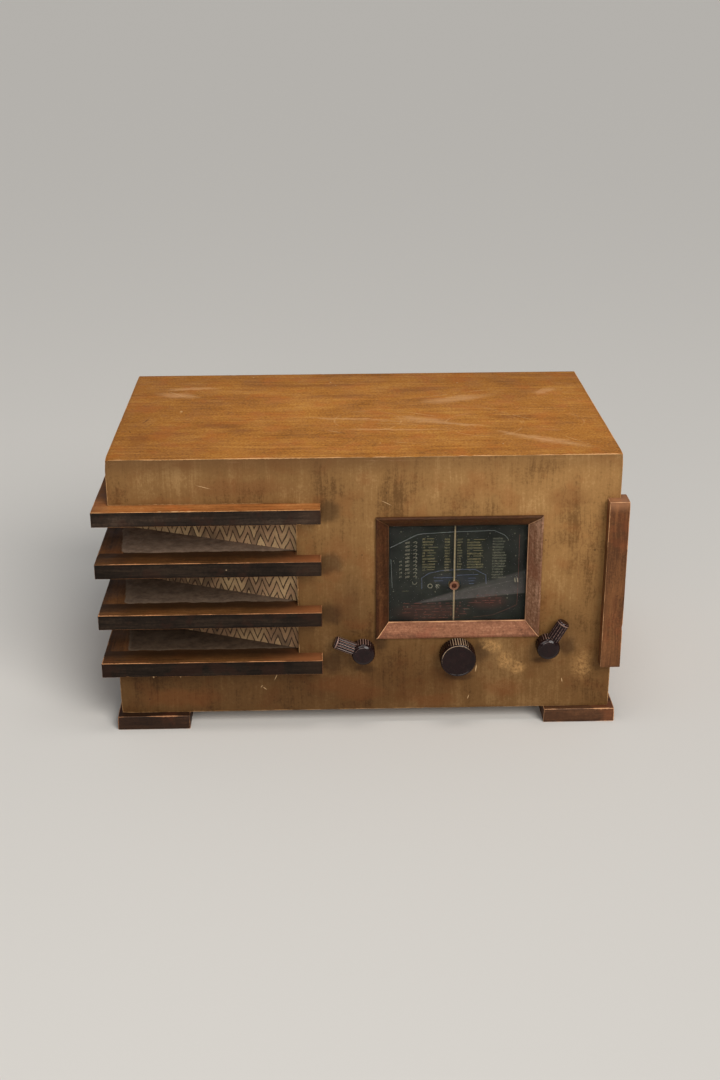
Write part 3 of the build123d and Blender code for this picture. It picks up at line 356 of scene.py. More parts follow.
def moulded(name, dark, light, seed, rough=(0.16, 0.34), coat=0.0, dust=0.12, relief=0.012, edge=None, swirl=0.35, worn=None, ior=1.5, wear_and_highlight_amt=0.55):
    m = Mat(name, coat=coat, coat_rough=0.1, ior=ior)
    v = m.vmath("ADD", m.mm, (seed * 9.1, seed * 21.7, seed * 3.3))
    a = m.noise(v, 0.11, 5.0, 0.6, 1.2)
    b = m.noise(v, 0.9, 3.0, 0.6)
    tone = m.math("ADD", m.math("MULTIPLY", a, 0.7), m.math("MULTIPLY", b, 0.3))
    col = m.ramp(tone, [(0.5 - swirl * 0.5, dark), (0.5 + swirl * 0.5, light)])
    film = m.smooth(m.noise(v, 0.28, 5.0, 0.7), 0.5, 0.75, 0.0, dust)
    col = m.mix(film, col, lin(150, 132, 112))
    gl = m.math("ADD", m.smooth(b, 0.3, 0.7, rough[0], rough[1]), m.math("MULTIPLY", film, 0.6))
    # pale colour where the edge attribute is low: rubbed wear, and on the knobs painted highlights as well
    if edge is not None and worn is not None:
        e = m.attr(edge)
        rag = m.noise(v, 0.7, 3.0, 0.6)
        w = m.smooth(m.math("SUBTRACT", m.math("MULTIPLY", rag, 1.1), e), 0.0, 0.4, 0.0, wear_and_highlight_amt)
        col = m.mix(w, col, worn)
        gl = m.math("ADD", gl, m.math("MULTIPLY", w, 0.12))
    return m.finish(col, gl, m.math("ADD", b, m.math("MULTIPLY", a, 0.5)), relief)


def fibrous(name, dark, light, seed, rough=0.9, scale=1.0, relief=0.05, stain=0.3):
    """Pressed board, paper and the like."""
    m = Mat(name, spec=0.3)
    v = m.vmath("ADD", m.mm, (seed * 5.1, seed * 8.7, seed * 2.9))
    a = m.noise(v, 0.9 * scale, 5.0, 0.7)
    f = m.noise(m.vmath("MULTIPLY", v, (2.2, 2.2, 0.5)), 0.8 * scale, 3.0, 0.6, 0.8)
    c = m.noise(v, 0.02, 4.0, 0.6)
    tone = m.math("ADD", m.math("MULTIPLY", a, 0.45), m.math("ADD", m.math("MULTIPLY", f, 0.25), m.math("MULTIPLY", c, 0.3)))
    col = m.ramp(tone, [(0.32, dark), (0.68, light)])
    sp = m.smooth(m.vor(v, 0.35), 0.10, 0.03, 0.0, 0.35)
    col = m.mix(sp, col, tuple(x * 0.4 for x in dark[:3]) + (1.0,))
    st = m.smooth(m.noise(v, 0.013, 4.0, 0.6), 0.5, 0.7, 0.0, stain)
    col = m.mix(st, col, tuple(x * 0.5 for x in dark[:3]) + (1.0,))
    return m.finish(col, m.smooth(a, 0.3, 0.7, rough - 0.12, rough), m.math("ADD", a, f), relief)


# ---------------------------------------------------------------- mesh building
def add(name, verts, faces, mats, body, replaces=(), smooth=True, angle=38.0, face_mats=None, attrs=None):
    me = bpy.data.meshes.new(name)
    me.from_pydata([row(v) for v in verts], [], faces)
    me.validate()
    for mt in mats:
        me.materials.append(mt)
    if face_mats is not None:
        me.polygons.foreach_set("material_index", face_mats)
    for key, values in (attrs or {}).items():
        a = me.attributes.new(key, "FLOAT", "POINT")
        a.data.foreach_set("value", np.asarray(values, np.float32))
    if smooth:
        me.shade_smooth()
        me.set_sharp_from_angle(angle=math.radians(angle))
    me.update()
    ob = bpy.data.objects.new(name, me)
    scene.collection.objects.link(ob)
    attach(ob, body)
    if replaces:
        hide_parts(*replaces)
    return ob


def lines(boxes, axis, r, step):
    """Grid coordinates along one axis: every box face, close lines beside each, and even steps between."""
    stops = sorted({round(b[k][axis], 4) for b in boxes for k in (0, 1)})
    out = set(stops)
    for a, b in zip(stops, stops[1:]):
        gap = b - a
        near = [d for d in (0.3 * r, 0.65 * r, r, r + 0.7, r + 2.0) if d < gap * 0.48]
        for d in near:
            out.add(round(a + d, 4))
            out.add(round(b - d, 4))
        last = near[-1] if near else 0.0
        inner = gap - 2 * last
        n = max(1, int(math.ceil(inner / step)))
        for i in range(1, n):
            out.add(round(a + last + inner * i / n, 4))
    return sorted(out)


def blocks(name, boxes, mat, body, replaces=(), r=0.8, step=(6, 6, 6), wobble=0.12, chip=0.5, seed=1, chips=(), cut=(), face_mat=None, mats=None,
           flat=()):
    """A solid made of boxes that overlap, with rounded, slightly uneven and chipped edges. cut takes boxes out of it."""
    allb = list(boxes) + list(cut)
    gx, gy, gz = [lines(allb, a, r, step[a]) for a in range(3)]

    def inside(c):
        ok = any(all(b[0][i] < c[i] < b[1][i] for i in range(3)) for b in boxes)
        return ok and not any(all(b[0][i] < c[i] < b[1][i] for i in range(3)) for b in cut)

    nx, ny, nz = len(gx) - 1, len(gy) - 1, len(gz) - 1
    cx = [(gx[i] + gx[i + 1]) / 2 for i in range(nx)]
    cy = [(gy[i] + gy[i + 1]) / 2 for i in range(ny)]
    cz = [(gz[i] + gz[i + 1]) / 2 for i in range(nz)]
    X, Y, Z = np.meshgrid(cx, cy, cz, indexing="ij")
    full = np.zeros((nx + 2, ny + 2, nz + 2), bool)
    core = np.zeros((nx, ny, nz), bool)
    for b in boxes:
        core |= (X > b[0][0]) & (X < b[1][0]) & (Y > b[0][1]) & (Y < b[1][1]) & (Z > b[0][2]) & (Z < b[1][2])
    for b in cut:
        core &= ~((X > b[0][0]) & (X < b[1][0]) & (Y > b[0][1]) & (Y < b[1][1]) & (Z > b[0][2]) & (Z < b[1][2]))
    full[1:-1, 1:-1, 1:-1] = core
    index, verts, faces = {}, [], []

    def vid(i, j, k):
        key = (i, j, k)
        if key not in index:
            index[key] = len(verts)
            verts.append((gx[i], gy[j], gz[k]))
        return index[key]

    normals = []
    for axis, sign in ((0, 1), (0, -1), (1, 1), (1, -1), (2, 1), (2, -1)):
        sh = [0, 0, 0]
        sh[axis] = sign
        nb = full[1 + sh[0]:nx + 1 + sh[0], 1 + sh[1]:ny + 1 + sh[1], 1 + sh[2]:nz + 1 + sh[2]]
        for i, j, k in np.argwhere(core & ~nb):
            i, j, k = int(i), int(j), int(k)
            if axis == 0:
                q = [(i + (sign > 0), j, k), (i + (sign > 0), j + 1, k), (i + (sign > 0), j + 1, k + 1), (i + (sign > 0), j, k + 1)]
            elif axis == 1:
                q = [(i, j + (sign > 0), k), (i, j + (sign > 0), k + 1), (i + 1, j + (sign > 0), k + 1), (i + 1, j + (sign > 0), k)]
            else:
                q = [(i, j, k + (sign > 0)), (i + 1, j, k + (sign > 0)), (i + 1, j + 1, k + (sign > 0)), (i, j + 1, k + (sign > 0))]
            if sign < 0:
                q.reverse()
            faces.append([vid(*p) for p in q])
            normals.append((axis, sign))
    P = np.array(verts, float)
    # rounding: the nearest point of the shrunken shape, then out by r
    best = np.full(len(P), 1e9)
    Q = P.copy()
    E = np.zeros(len(P))
    for b in boxes:
        lo, hi = np.array(b[0], float), np.array(b[1], float)
        slo, shi = np.minimum(lo + r, (lo + hi) / 2), np.maximum(hi - r, (lo + hi) / 2)
        dlo, dhi = P - lo, hi - P
        for ax, sg in flat:  # a joint that stays tight: no rounding there
            if sg > 0:
                shi[ax] = hi[ax]
                dhi[:, ax] = 99.0
            else:
                slo[ax] = lo[ax]
                dlo[:, ax] = 99.0
        q = np.clip(P, slo, shi)
        d = np.linalg.norm(P - q, axis=1)
        # a cut may take this point away, so leave those alone
        better = d < best - 1e-9
        best = np.where(better, d, best)
        Q[better] = q[better]
        within = np.all((P >= lo - 1e-6) & (P <= hi + 1e-6), axis=1)
        ds = np.sort(np.minimum(dlo, dhi), axis=1)
        E = np.where(within, np.maximum(E, ds[:, 1]), E)
    D = P - Q
    L = np.linalg.norm(D, axis=1)
    N = D / np.maximum(L, 1e-9)[:, None]
    R = P.copy()
    go = (L > r + 1e-9)
    R[go] = Q[go] + N[go] * r
    # concave corners and cut faces keep their place
    if cut:
        for b in cut:
            lo, hi = np.array(b[0], float), np.array(b[1], float)
            on = np.all((P >= lo - 1e-6) & (P <= hi + 1e-6), axis=1)
            R[on] = P[on]
            E[on] = 9.0
    near = np.where(E < 4.0)[0]
    s = Vector((seed * 7.7, seed * 3.1, seed * 5.3))
    for i in near:
        p = Vector(P[i])
        e = E[i]
        w = wobble * (mnoise.noise(p * 0.045 + s) * 0.5 + 0.5) * max(0.0, 1 - e / 4.0)
        n2 = mnoise.noise(p * 0.21 + s * 1.7) + 0.5 * mnoise.noise(p * 0.63 + s)
        c = chip * max(0.0, n2 - 0.55) * max(0.0, 1 - e / 2.2)
        for (qx, qy, qz, qr, qd) in chips:
            dd = ((p.x - qx) ** 2 + (p.y - qy) ** 2 + (p.z - qz) ** 2) ** 0.5
            if dd < qr:
                c += qd * (1 - dd / qr) * (0.6 + 0.8 * abs(mnoise.noise(p * 0.9 + s)))
        R[i] -= N[i] * (w + c)
    ob = add(name, [tuple(v) for v in R], faces, mats or [mat], body, replaces, attrs={"edge": E})
    if face_mat is not None:
        idx = [face_mat(R[f].mean(0), n) for f, n in zip(faces, normals)]
        ob.data.polygons.foreach_set("material_index", idx)
    return ob


def tube_of(profile, n, centre, axis, u, v, flute=None, close_first=True, close_last=True):
    """Turned shape: rows of (along, radius, flute share). A row of radius 0 becomes one point."""
    verts, faces, rows = [], [], []
    for t, r, w in profile:
        if r < 1e-6:
            verts.append(tuple(centre[i] + axis[i] * t for i in range(3)))
            rows.append([len(verts) - 1])
            continue
        ids = []
        for k in range(n):
            th = 2 * math.pi * k / n
            rr = r - (flute(th, r) * w if flute and w > 0 else 0.0)
            c, s = math.cos(th) * rr, math.sin(th) * rr
            verts.append(tuple(centre[i] + axis[i] * t + u[i] * c + v[i] * s for i in range(3)))
            ids.append(len(verts) - 1)
        rows.append(ids)
    for a, b in zip(rows, rows[1:]):
        if len(a) == 1 and len(b) == 1:
            continue
        if len(a) == 1:
            faces += [[a[0], b[(k + 1) % n], b[k]] for k in range(n)]
        elif len(b) == 1:
            faces += [[a[k], a[(k + 1) % n], b[0]] for k in range(n)]
        else:
            faces += [[a[k], a[(k + 1) % n], b[(k + 1) % n], b[k]] for k in range(n)]
    return verts, faces


def flutes(count, cutter, off):
    def f(th, r):
        pitch_mm = 2 * math.pi * r / count
        d = ((th * count / (2 * math.pi)) % 1.0 - 0.5) * pitch_mm
        return max(0.0, math.sqrt(max(0.0, cutter * cutter - d * d)) - off)
    return f


def turn_out(ob):
    """Makes every closed shell's faces look outward."""
    import bmesh
    bm = bmesh.new()
    bm.from_mesh(ob.data)
    bmesh.ops.recalc_face_normals(bm, faces=bm.faces)
    bm.to_mesh(ob.data)
    bm.free()
    ob.data.update()


# ---------------------------------------------------------------- cabinet materials
def top_marks(m, st):
    shift = m.vmath("SCALE", m.vmath("SUBTRACT", m.noise(m.mm, 0.06, 4.0, 0.65, color=True), (0.5, 0.5, 0.5)), scale=15.0)
    v = m.vmath("ADD", m.mm, shift)
    col = st["col"]
    # painted shade: darker to the back edge and to the left
    shade = m.smooth(m.y, 180.0, 290.0, 0.0, 0.42)
    shade = m.math("MAXIMUM", shade, m.smooth(m.x, -60.0, -245.0, 0.0, 0.46))
    col = m.mix(shade, col, (0.56, 0.52, 0.45, 1.0), "MULTIPLY")
    # brown blotches
    stain = m.most([m.blob(v, (-140, 100), (34, 11), 0.0, "z"), m.blob(v, (-118, 84), (30, 6), 0.05, "z"), m.blob(v, (70, 222), (60, 10), 0.1, "z"), m.blob(v, (-215, 60), (14, 30), 0.0, "z"),
                    m.blob(v, (150, 120), (36, 9), 0.05, "z"), m.blob(v, (-20, 200), (50, 8), 0.0, "z"), m.blob(v, (-60, 240), (80, 9), 0.0, "z")])
    col = m.mix(m.math("MULTIPLY", stain, 0.36), col, lin(112, 62, 26))
    # worn pale scuffs running slantwise on the right half
    scuff = m.most([
        m.blob(v, (99, 184), (56, 15), 0.34, "z", 0.2), m.blob(v, (62, 112), (38, 14), -0.36, "z", 0.2), m.blob(v, (92, 98), (40, 5), -0.24, "z"), m.blob(v, (176, 44), (54, 13), -0.52, "z", 0.2),
        m.blob(v, (150, 62), (30, 5), -0.5, "z"), m.blob(v, (-10, 118), (60, 4), -0.14, "z"), m.blob(v, (30, 82), (70, 3), -0.06, "z"), m.blob(v, (-190, 208), (30, 12), -0.3, "z"),
        m.blob(v, (-176, 232), (34, 7), 0.1, "z"), m.blob(v, (196, 210), (20, 9), 0.8, "z")])
    rub = m.smooth(m.noise(stretched(m, st["v"], "x", 0.5, 0.06), 1.0, 5.0, 0.75), 0.26, 0.56)
    col = m.mix(m.math("MULTIPLY", m.math("MULTIPLY", scuff, rub), 0.52), col, lin(206, 156, 106))
    # faint ring marks
    for cx, cy, rr in ((6.0, 112.0, 33.0), (190.0, 104.0, 30.0), (120.0, 96.0, 38.0)):
        d = m.vmath("LENGTH", m.vmath("MULTIPLY", m.vmath("SUBTRACT", m.mm, (cx, cy, 0)), (1, 1, 0)))
        ring = m.smooth(m.math("ABSOLUTE", m.math("SUBTRACT", d, rr)), 1.2, 0.2)
        broken = m.smooth(m.noise(m.mm, 0.05, 2.0), 0.44, 0.60)
        col = m.mix(m.math("MULTIPLY", m.math("MULTIPLY", ring, broken), 0.34), col, lin(206, 158, 106))
    # long thin scratches
    cuts = m.most([m.blob(m.mm, (180, 40), (56, 0.5), -0.52, "z"), m.blob(m.mm, (174, 46), (60, 0.4), -0.50, "z"), m.blob(m.mm, (150, 128), (60, 0.35), -0.80, "z"),
                   m.blob(m.mm, (-28, 78), (11, 0.6), -0.53, "z"), m.blob(m.mm, (40, 40), (26, 0.4), -0.3, "z"), m.blob(m.mm, (-191, 212), (24, 0.5), -0.81, "z"),
                   m.blob(m.mm, (-176, 205), (20, 0.4), -0.5, "z"), m.blob(m.mm, (-188, 236), (26, 0.5), 0.12, "z"), m.blob(m.mm, (90, 200), (40, 0.4), 0.3, "z"),
                   m.blob(m.mm, (205, 40), (30, 0.4), -0.9, "z"), m.blob(m.mm, (-182, 149), (2.0, 5.0), 0.0, "z"), m.blob(m.mm, (30, 108), (44, 0.5), -0.16, "z"),
                   m.blob(m.mm, (34, 100), (38, 0.4), -0.12, "z"), m.blob(m.mm, (60, 132), (30, 0.5), -0.5, "z"), m.blob(m.mm, (126, 214), (22, 0.5), 0.3, "z")])
    cuts = m.math("MULTIPLY", cuts, m.smooth(m.noise(m.mm, 0.12, 3.0, 0.6), 0.34, 0.54))
    col = m.mix(m.math("MULTIPLY", cuts, 0.60), col, lin(226, 186, 134))
    nick = m.most([m.blob(m.mm, (-214, 120), (1.0, 9), -0.3, "z"), m.blob(m.mm, (-209, 106), (0.8, 5), -0.5, "z"), m.blob(m.mm, (-226, 84), (0.8, 4), 0.3, "z")])
    col = m.mix(m.math("MULTIPLY", nick, 0.7), col, lin(70, 38, 16))
    # specks of paint and dust
    cell = m.vor(m.mm, 0.045)
    who = m.vor(m.mm, 0.045, out="Color")
    s = m.nt.nodes.new("ShaderNodeSeparateXYZ")
    m.put(s.inputs[0], who)
    speck = m.math("MULTIPLY", m.smooth(cell, 0.036, 0.022), m.smooth(s.outputs[0], 0.60, 0.62))
    col = m.mix(m.math("MULTIPLY", speck, 0.85), col, lin(230, 206, 168))
    dark = m.math("MULTIPLY", m.smooth(m.vor(m.mm, 0.036), 0.030, 0.016), 0.6)
    col = m.mix(dark, col, lin(66, 38, 20))
    st["col"] = col
    st["height"] = m.math("SUBTRACT", st["height"], m.math("MULTIPLY", cuts, 1.5))


def front_marks(m, st):
    wob = m.vmath("SCALE", m.vmath("SUBTRACT", m.noise(m.mm, 0.06, 3.0, 0.6, color=True), (0.5, 0.5, 0.5)), scale=16.0)
    v = m.vmath("ADD", m.mm, wob)
    col = st["col"]
    # painted shade: darker towards the bottom and to the left; and a line of grime under the top edge
    col = m.mix(m.smooth(m.x, 222.0, -110.0, 0.0, 0.54), col, (0.30, 0.27, 0.24, 1.0), "MULTIPLY")
    col = m.mix(m.smooth(m.z, 235.0, 45.0, 0.0, 0.72), col, (0.24, 0.195, 0.16, 1.0), "MULTIPLY")
    under = m.math("MULTIPLY", m.smooth(m.z, 256.0, 275.0, 0.0, 0.62), m.smooth(m.x, 0.0, 70.0, 1.0, 0.55))
    col = m.mix(under, col, lin(88, 60, 34))
    warm = m.most([m.blob(v, (-24, 184), (18, 20), 0.2), m.blob(v, (-30, 160), (12, 14)), m.blob(v, (137, 36), (24, 14)), m.blob(v, (-20, 42), (40, 16)), m.blob(v, (-116, 249), (60, 12)), m.blob(v, (-180, 30), (50, 14)), m.blob(v, (-6, 34), (34, 11)),
                   m.blob(v, (66, 24), (30, 9)), m.blob(v, (-10, 108), (14, 8)), m.blob(v, (190, 235), (26, 14))])
    col = m.mix(m.math("MULTIPLY", warm, 0.28), col, lin(104, 56, 26))
    # darker patches beside the rail ends and round the knobs
    dark_patches = [m.blob(v, (-35, 224), (17, 15)), m.blob(v, (-35, 171), (18, 15)), m.blob(v, (-34, 119), (18, 15)), m.blob(v, (-33, 67), (20, 14)),
            m.blob(v, (112, 77), (13, 17)), m.blob(v, (196, 80), (14, 14)), m.blob(v, (14, 88), (12, 12)), m.blob(v, (-1, 60), (14, 7)), m.blob(v, (92, 50), (18, 6)),
            m.blob(v, (172, 66), (14, 6))]
    col = m.mix(m.math("MULTIPLY", m.most(dark_patches), 0.58), col, lin(44, 27, 13))
    halo = m.most([m.blob(v, (-14, 130), (26, 60), 0.0, "y", 0.0), m.blob(v, (192, 90), (20, 34), -0.3, "y", 0.0), m.blob(v, (100, 62), (36, 22), 0.0, "y", 0.0)])
    col = m.mix(m.math("MULTIPLY", halo, 0.30), col, lin(62, 38, 20))
    # paler rubbed places
    bare = m.most([m.blob(v, (137, 68), (13, 11), -0.6), m.blob(v, (122, 82), (16, 10), -0.5), m.blob(v, (148, 58), (10, 8)), m.blob(v, (212, 60), (14, 22), 0.0, "y", 0.0)])
    blot = m.smooth(m.noise(m.mm, 0.30, 5.0, 0.75), 0.36, 0.62)
    col = m.mix(m.math("MULTIPLY", m.math("MULTIPLY", bare, blot), 0.52), col, lin(182, 138, 86))
    # thin upright stains on the right
    runs = m.most([m.blob(v, (213, 175), (0.8, 46), 0.03), m.blob(v, (205, 190), (1.2, 34), 0.0), m.blob(v, (219, 130), (0.9, 30)), m.blob(v, (186, 240), (1.0, 16))])
    col = m.mix(m.math("MULTIPLY", runs, 0.26), col, lin(84, 52, 28))
    # small nicks and specks
    nick = m.most([m.blob(m.mm, (-3.1, 179.8), (0.9, 0.8)), m.blob(m.mm, (171.1, 192.5), (1.0, 0.8)), m.blob(m.mm, (218.3, 181.6), (1.0, 0.9)),
                   m.blob(m.mm, (152.0, 64.2), (0.9, 1.0)), m.blob(m.mm, (20, 242), (0.7, 0.7)), m.blob(m.mm, (-212, 30), (0.8, 1.2)), m.blob(m.mm, (-60, 46), (0.8, 0.8))])
    col = m.mix(m.math("MULTIPLY", nick, 0.85), col, lin(38, 24, 16))
    cuts = m.most([m.blob(m.mm, (-87.8, 52.0), (0.45, 4.6), -0.42), m.blob(m.mm, (-99.0, 40.0), (0.35, 3.2), 0.9), m.blob(m.mm, (-102.0, 42.0), (0.3, 2.2), -0.6),
                   m.blob(m.mm, (108.0, 58.4), (0.6, 5.0), -0.15), m.blob(m.mm, (-181, 55), (0.5, 3.0), 0.2), m.blob(m.mm, (-207, 54), (1.0, 1.2), 0.2),
                   m.blob(m.mm, (193, 44), (0.5, 3.0), 0.2), m.blob(m.mm, (101, 27), (0.4, 3.0), -0.3), m.blob(m.mm, (20, 232), (0.3, 7), 1.1),
                   m.blob(m.mm, (-150, 250), (0.3, 9), 1.3)])
    col = m.mix(m.math("MULTIPLY", cuts, 0.7), col, lin(214, 178, 132))
    # painted shade: a broad darker patch low in the middle
    low_mid = m.blob(v, (10, 40), (130, 36))
    col = m.mix(m.math("MULTIPLY", low_mid, 0.34), col, (0.62, 0.52, 0.42, 1.0), "MULTIPLY")
    st["col"] = col
    st["height"] = m.math("SUBTRACT", st["height"], m.math("ADD", cuts, nick))


BARE = lin(214, 170, 116)
wood_top = wood("veneer_top", "x", lin(132, 82, 30), lin(168, 108, 42), lin(192, 134, 60), 1, edge="edge", bare=lin(224, 170, 120), wear=0.85, wear_mm=0.8,
                grime=0.10, mottle=0.26, fibre=0.42, pores=0.22, rough=(0.40, 0.56), coat=0.0, scratch=0.30, red=lin(178, 96, 38), red_amt=0.34,
                relief=0.05, extra=top_marks, band=0.16, banding=0.20, speckle=0.50, contrast=0.115)
wood_front = wood("veneer_front", "z", lin(106, 74, 40), lin(145, 107, 63), lin(172, 134, 86), 2, edge="edge", bare=lin(198, 152, 102), wear=0.5, wear_mm=0.8,
                  grime=0.06, mottle=0.44, fibre=0.26, pores=0.12, rough=(0.42, 0.62), coat=0.0, scratch=0.12, red=lin(134, 78, 38), red_amt=0.30,
                  relief=0.05, extra=front_marks, band=0.09, banding=0.20, speckle=0.25, contrast=0.135)
wood_side = wood("veneer_side", "z", lin(104, 66, 34), lin(140, 94, 50), lin(166, 118, 68), 3, edge="edge", bare=BARE, wear=0.7, wear_mm=1.0, grime=0.3,
                 rough=(0.42, 0.6), coat=0.1, red=lin(150, 84, 44), red_amt=0.3, relief=0.05)
ply = wood("bottom_ply", "x", lin(108, 78, 48), lin(142, 108, 70), lin(166, 132, 90), 4, grime=0.3, rough=(0.7, 0.88), coat=0.0, relief=0.08, scratch=0.1)


def paint_over(m, st):
    """Matt shelf paint that laps a little on to the rail, with a ragged, rounded border; its tone carries painted
    light on the upper shelves and painted shade on the lower ones.
    """
    geo = m.nt.nodes.new("ShaderNodeNewGeometry")
    s = m.nt.nodes.new("ShaderNodeSeparateXYZ")
    m.put(s.inputs[0], geo.outputs["Normal"])
    up = m.smooth(m.math("ABSOLUTE", s.outputs[2]), 0.7, 0.9)
    n = m.noise(m.mm, 0.05, 3.0, 0.6)
    wob = m.math("MULTIPLY", m.math("SUBTRACT", n, 0.5), 7.0)
    fuzz = m.math("MULTIPLY", m.math("SUBTRACT", m.noise(m.mm, 0.5, 4.0, 0.7), 0.5), 2.4)
    wob = m.math("ADD", wob, fuzz)
    a = m.math("SUBTRACT", m.math("ADD", m.y, wob), 11.0)
    b = m.math("ADD", m.math("ADD", m.x, m.math("MULTIPLY", m.y, 0.10)), m.math("ADD", m.math("MULTIPLY", wob, 0.9), 230.5))
    # rounded corner: a smooth minimum of the two distances
    k = m.nt.nodes.new("ShaderNodeMath")
    k.operation = "SMOOTH_MIN"
    m.put(k.inputs[0], a)
    m.put(k.inputs[1], b)
    k.inputs[2].default_value = 7.0
    mask = m.math("MULTIPLY", m.smooth(k.outputs[0], -0.4, 1.0), up)
    tone = m.ramp(m.noise(m.mm, 0.12, 6.0, 0.72), [(0.32, lin(72, 58, 47)), (0.68, lin(106, 88, 72))])
    # painted shade on the lower shelves, painted light on the upper ones
    tone = m.mix(m.smooth(m.z, 150.0, 70.0, 0.0, 0.60), tone, (0.62, 0.56, 0.50, 1.0), "MULTIPLY")
    tone = m.mix(m.smooth(m.z, 90.0, 178.0), tone, (1.75, 1.8, 1.9, 1.0), "MULTIPLY")
    rim = m.math("MULTIPLY", m.smooth(k.outputs[0], 3.0, 0.4), 0.3)
    tone = m.mix(rim, tone, lin(128, 112, 94))
    st["col"] = m.mix(mask, st["col"], tone)
    st["gloss"] = m.math("ADD", st["gloss"], m.math("MULTIPLY", mask, 0.2))


def rail1_marks(m, st):
    chips = m.most([m.blob(m.mm, (-176, -15.5), (5, 1.6), 0.1, "z"), m.blob(m.mm, (-163, -16), (3, 1.2), 0.0, "z"), m.blob(m.mm, (-190, -16.5), (2.5, 1.0), 0.0, "z")])
    st["col"] = m.mix(m.math("MULTIPLY", chips, 0.8), st["col"], lin(220, 176, 128))
    dark = m.smooth(m.math("ADD", m.x, m.math("MULTIPLY", m.noise(m.mm, 0.05, 3.0), 40.0)), -214.0, -236.0, 0.0, 0.4)
    st["col"] = m.mix(dark, st["col"], lin(92, 56, 28))
    st["col"] = m.mix(m.smooth(m.y, -4.0, 40.0, 0.0, 0.6), st["col"], lin(84, 52, 26))


def rail_marks(m, st):
    # painted shade under the rail above, and painted light along the front and towards the right end
    b = m.smooth(m.x, -110.0, -44.0, 0.0, 0.60)
    st["col"] = m.mix(b, st["col"], lin(158, 96, 58))
    d = m.smooth(m.math("ADD", m.y, m.math("MULTIPLY", m.noise(m.mm, 0.1, 3.0), 6.0)), -11.0, 6.0, 0.0, 0.85)
    d = m.math("MULTIPLY", d, m.smooth(m.x, -80.0, -50.0, 1.0, 0.45))
    st["col"] = m.mix(d, st["col"], lin(34, 20, 10))
    paint_over(m, st)


def side_marks(m, st):
    # painted shade: darker towards the back, under the rail above
    d = m.smooth(m.y, 20.0, 70.0, 0.0, 0.35)
    st["col"] = m.mix(d, st["col"], lin(46, 28, 14))
    paint_over(m, st)


# the top rail's wood is the lit copy; the lower rails' tops are darker copies of it, as painted shade under the rail
# above
rail1_top = wood("rail_top_1", "x", lin(124, 74, 36), lin(156, 98, 50), lin(182, 124, 72), 5, edge="edge", bare=lin(224, 168, 112), wear=0.8, wear_mm=0.9, grime=0.2,
                 rough=(0.4, 0.55), coat=0.0, red=lin(176, 92, 42), red_amt=0.4, relief=0.05, extra=rail1_marks)
rail_top_shaded = wood("rail_top_shaded", "x", lin(64, 40, 20), lin(92, 59, 30), lin(118, 78, 42), 6, edge="edge", bare=lin(206, 146, 98), wear=0.85, wear_mm=1.0, grime=0.25,
                rough=(0.42, 0.58), coat=0.0, red=lin(104, 56, 26), red_amt=0.35, relief=0.05, extra=rail_marks)
rail_side_top_shaded = wood("rail_side_top_shaded", "y", lin(58, 36, 18), lin(86, 54, 27), lin(112, 72, 38), 7, edge="edge", bare=lin(176, 122, 80), wear=0.7, wear_mm=1.0, grime=0.3,
                     rough=(0.46, 0.62), coat=0.0, red=lin(104, 56, 26), red_amt=0.3, relief=0.05, extra=side_marks)


def face_marks(m, st):
    cell = m.vor(m.mm, 0.055)
    who = m.vor(m.mm, 0.055, out="Color")
    s = m.nt.nodes.new("ShaderNodeSeparateXYZ")
    m.put(s.inputs[0], who)
    speck = m.math("MULTIPLY", m.smooth(cell, 0.045, 0.028), m.smooth(s.outputs[0], 0.80, 0.82))
    st["col"] = m.mix(m.math("MULTIPLY", speck, 0.7), st["col"], lin(196, 168, 136))
    # painted light: the right ends of the faces are lighter
    right = m.smooth(m.x, -75.0, -44.0, 0.0, 0.22)
    st["col"] = m.mix(right, st["col"], lin(62, 44, 32))
    # painted light: the top rail's face is lighter
    first = m.smooth(m.z, 200.0, 216.0, 0.0, 0.35)
    st["col"] = m.mix(m.math("MULTIPLY", first, 2.8), st["col"], (1.9, 1.9, 1.95, 1.0), "MULTIPLY")
    low = m.smooth(m.math("SUBTRACT", m.noise(m.mm, 0.05, 3.0, 0.6), 0.5), 0.02, 0.12, 0.0, 0.35)
    st["col"] = m.mix(low, st["col"], lin(48, 28, 20))


rail_face = wood("rail_face", "x", lin(17, 12, 8), lin(28, 21, 16), lin(44, 34, 26), 8, edge="edge", bare=lin(150, 96, 60), wear=0.45, wear_mm=0.45, grime=0.2, ior=1.15,
                 fibre=0.6, pores=0.45, rough=(0.5, 0.68), coat=0.0, scratch=0.10, relief=0.06, extra=face_marks)
rail_face_y = wood("rail_face_y", "y", lin(17, 12, 8), lin(28, 21, 16), lin(44, 34, 26), 9, edge="edge", bare=lin(150, 96, 60), wear=0.45, wear_mm=0.45, grime=0.2, ior=1.15,
                   fibre=0.6, pores=0.45, rough=(0.5, 0.68), coat=0.0, scratch=0.10, relief=0.06)


def shelf_marks(m, st):
    paint_over(m, st)
    scuff = m.most([m.blob(m.mm, (-180, 30), (20, 6), 0.3, "z"), m.blob(m.mm, (-205, 45), (12, 16), 0.2, "z")])
    st["col"] = m.mix(m.math("MULTIPLY", scuff, 0.25), st["col"], lin(110, 94, 78))


shelf_paint = wood("shelf_paint", "x", lin(36, 24, 14), lin(52, 34, 20), lin(72, 48, 28), 10, grime=0.15, fibre=0.25, mottle=0.5, pores=0.15, rough=(0.72, 0.88), coat=0.0,
                   scratch=0.0, relief=0.04, extra=shelf_marks)


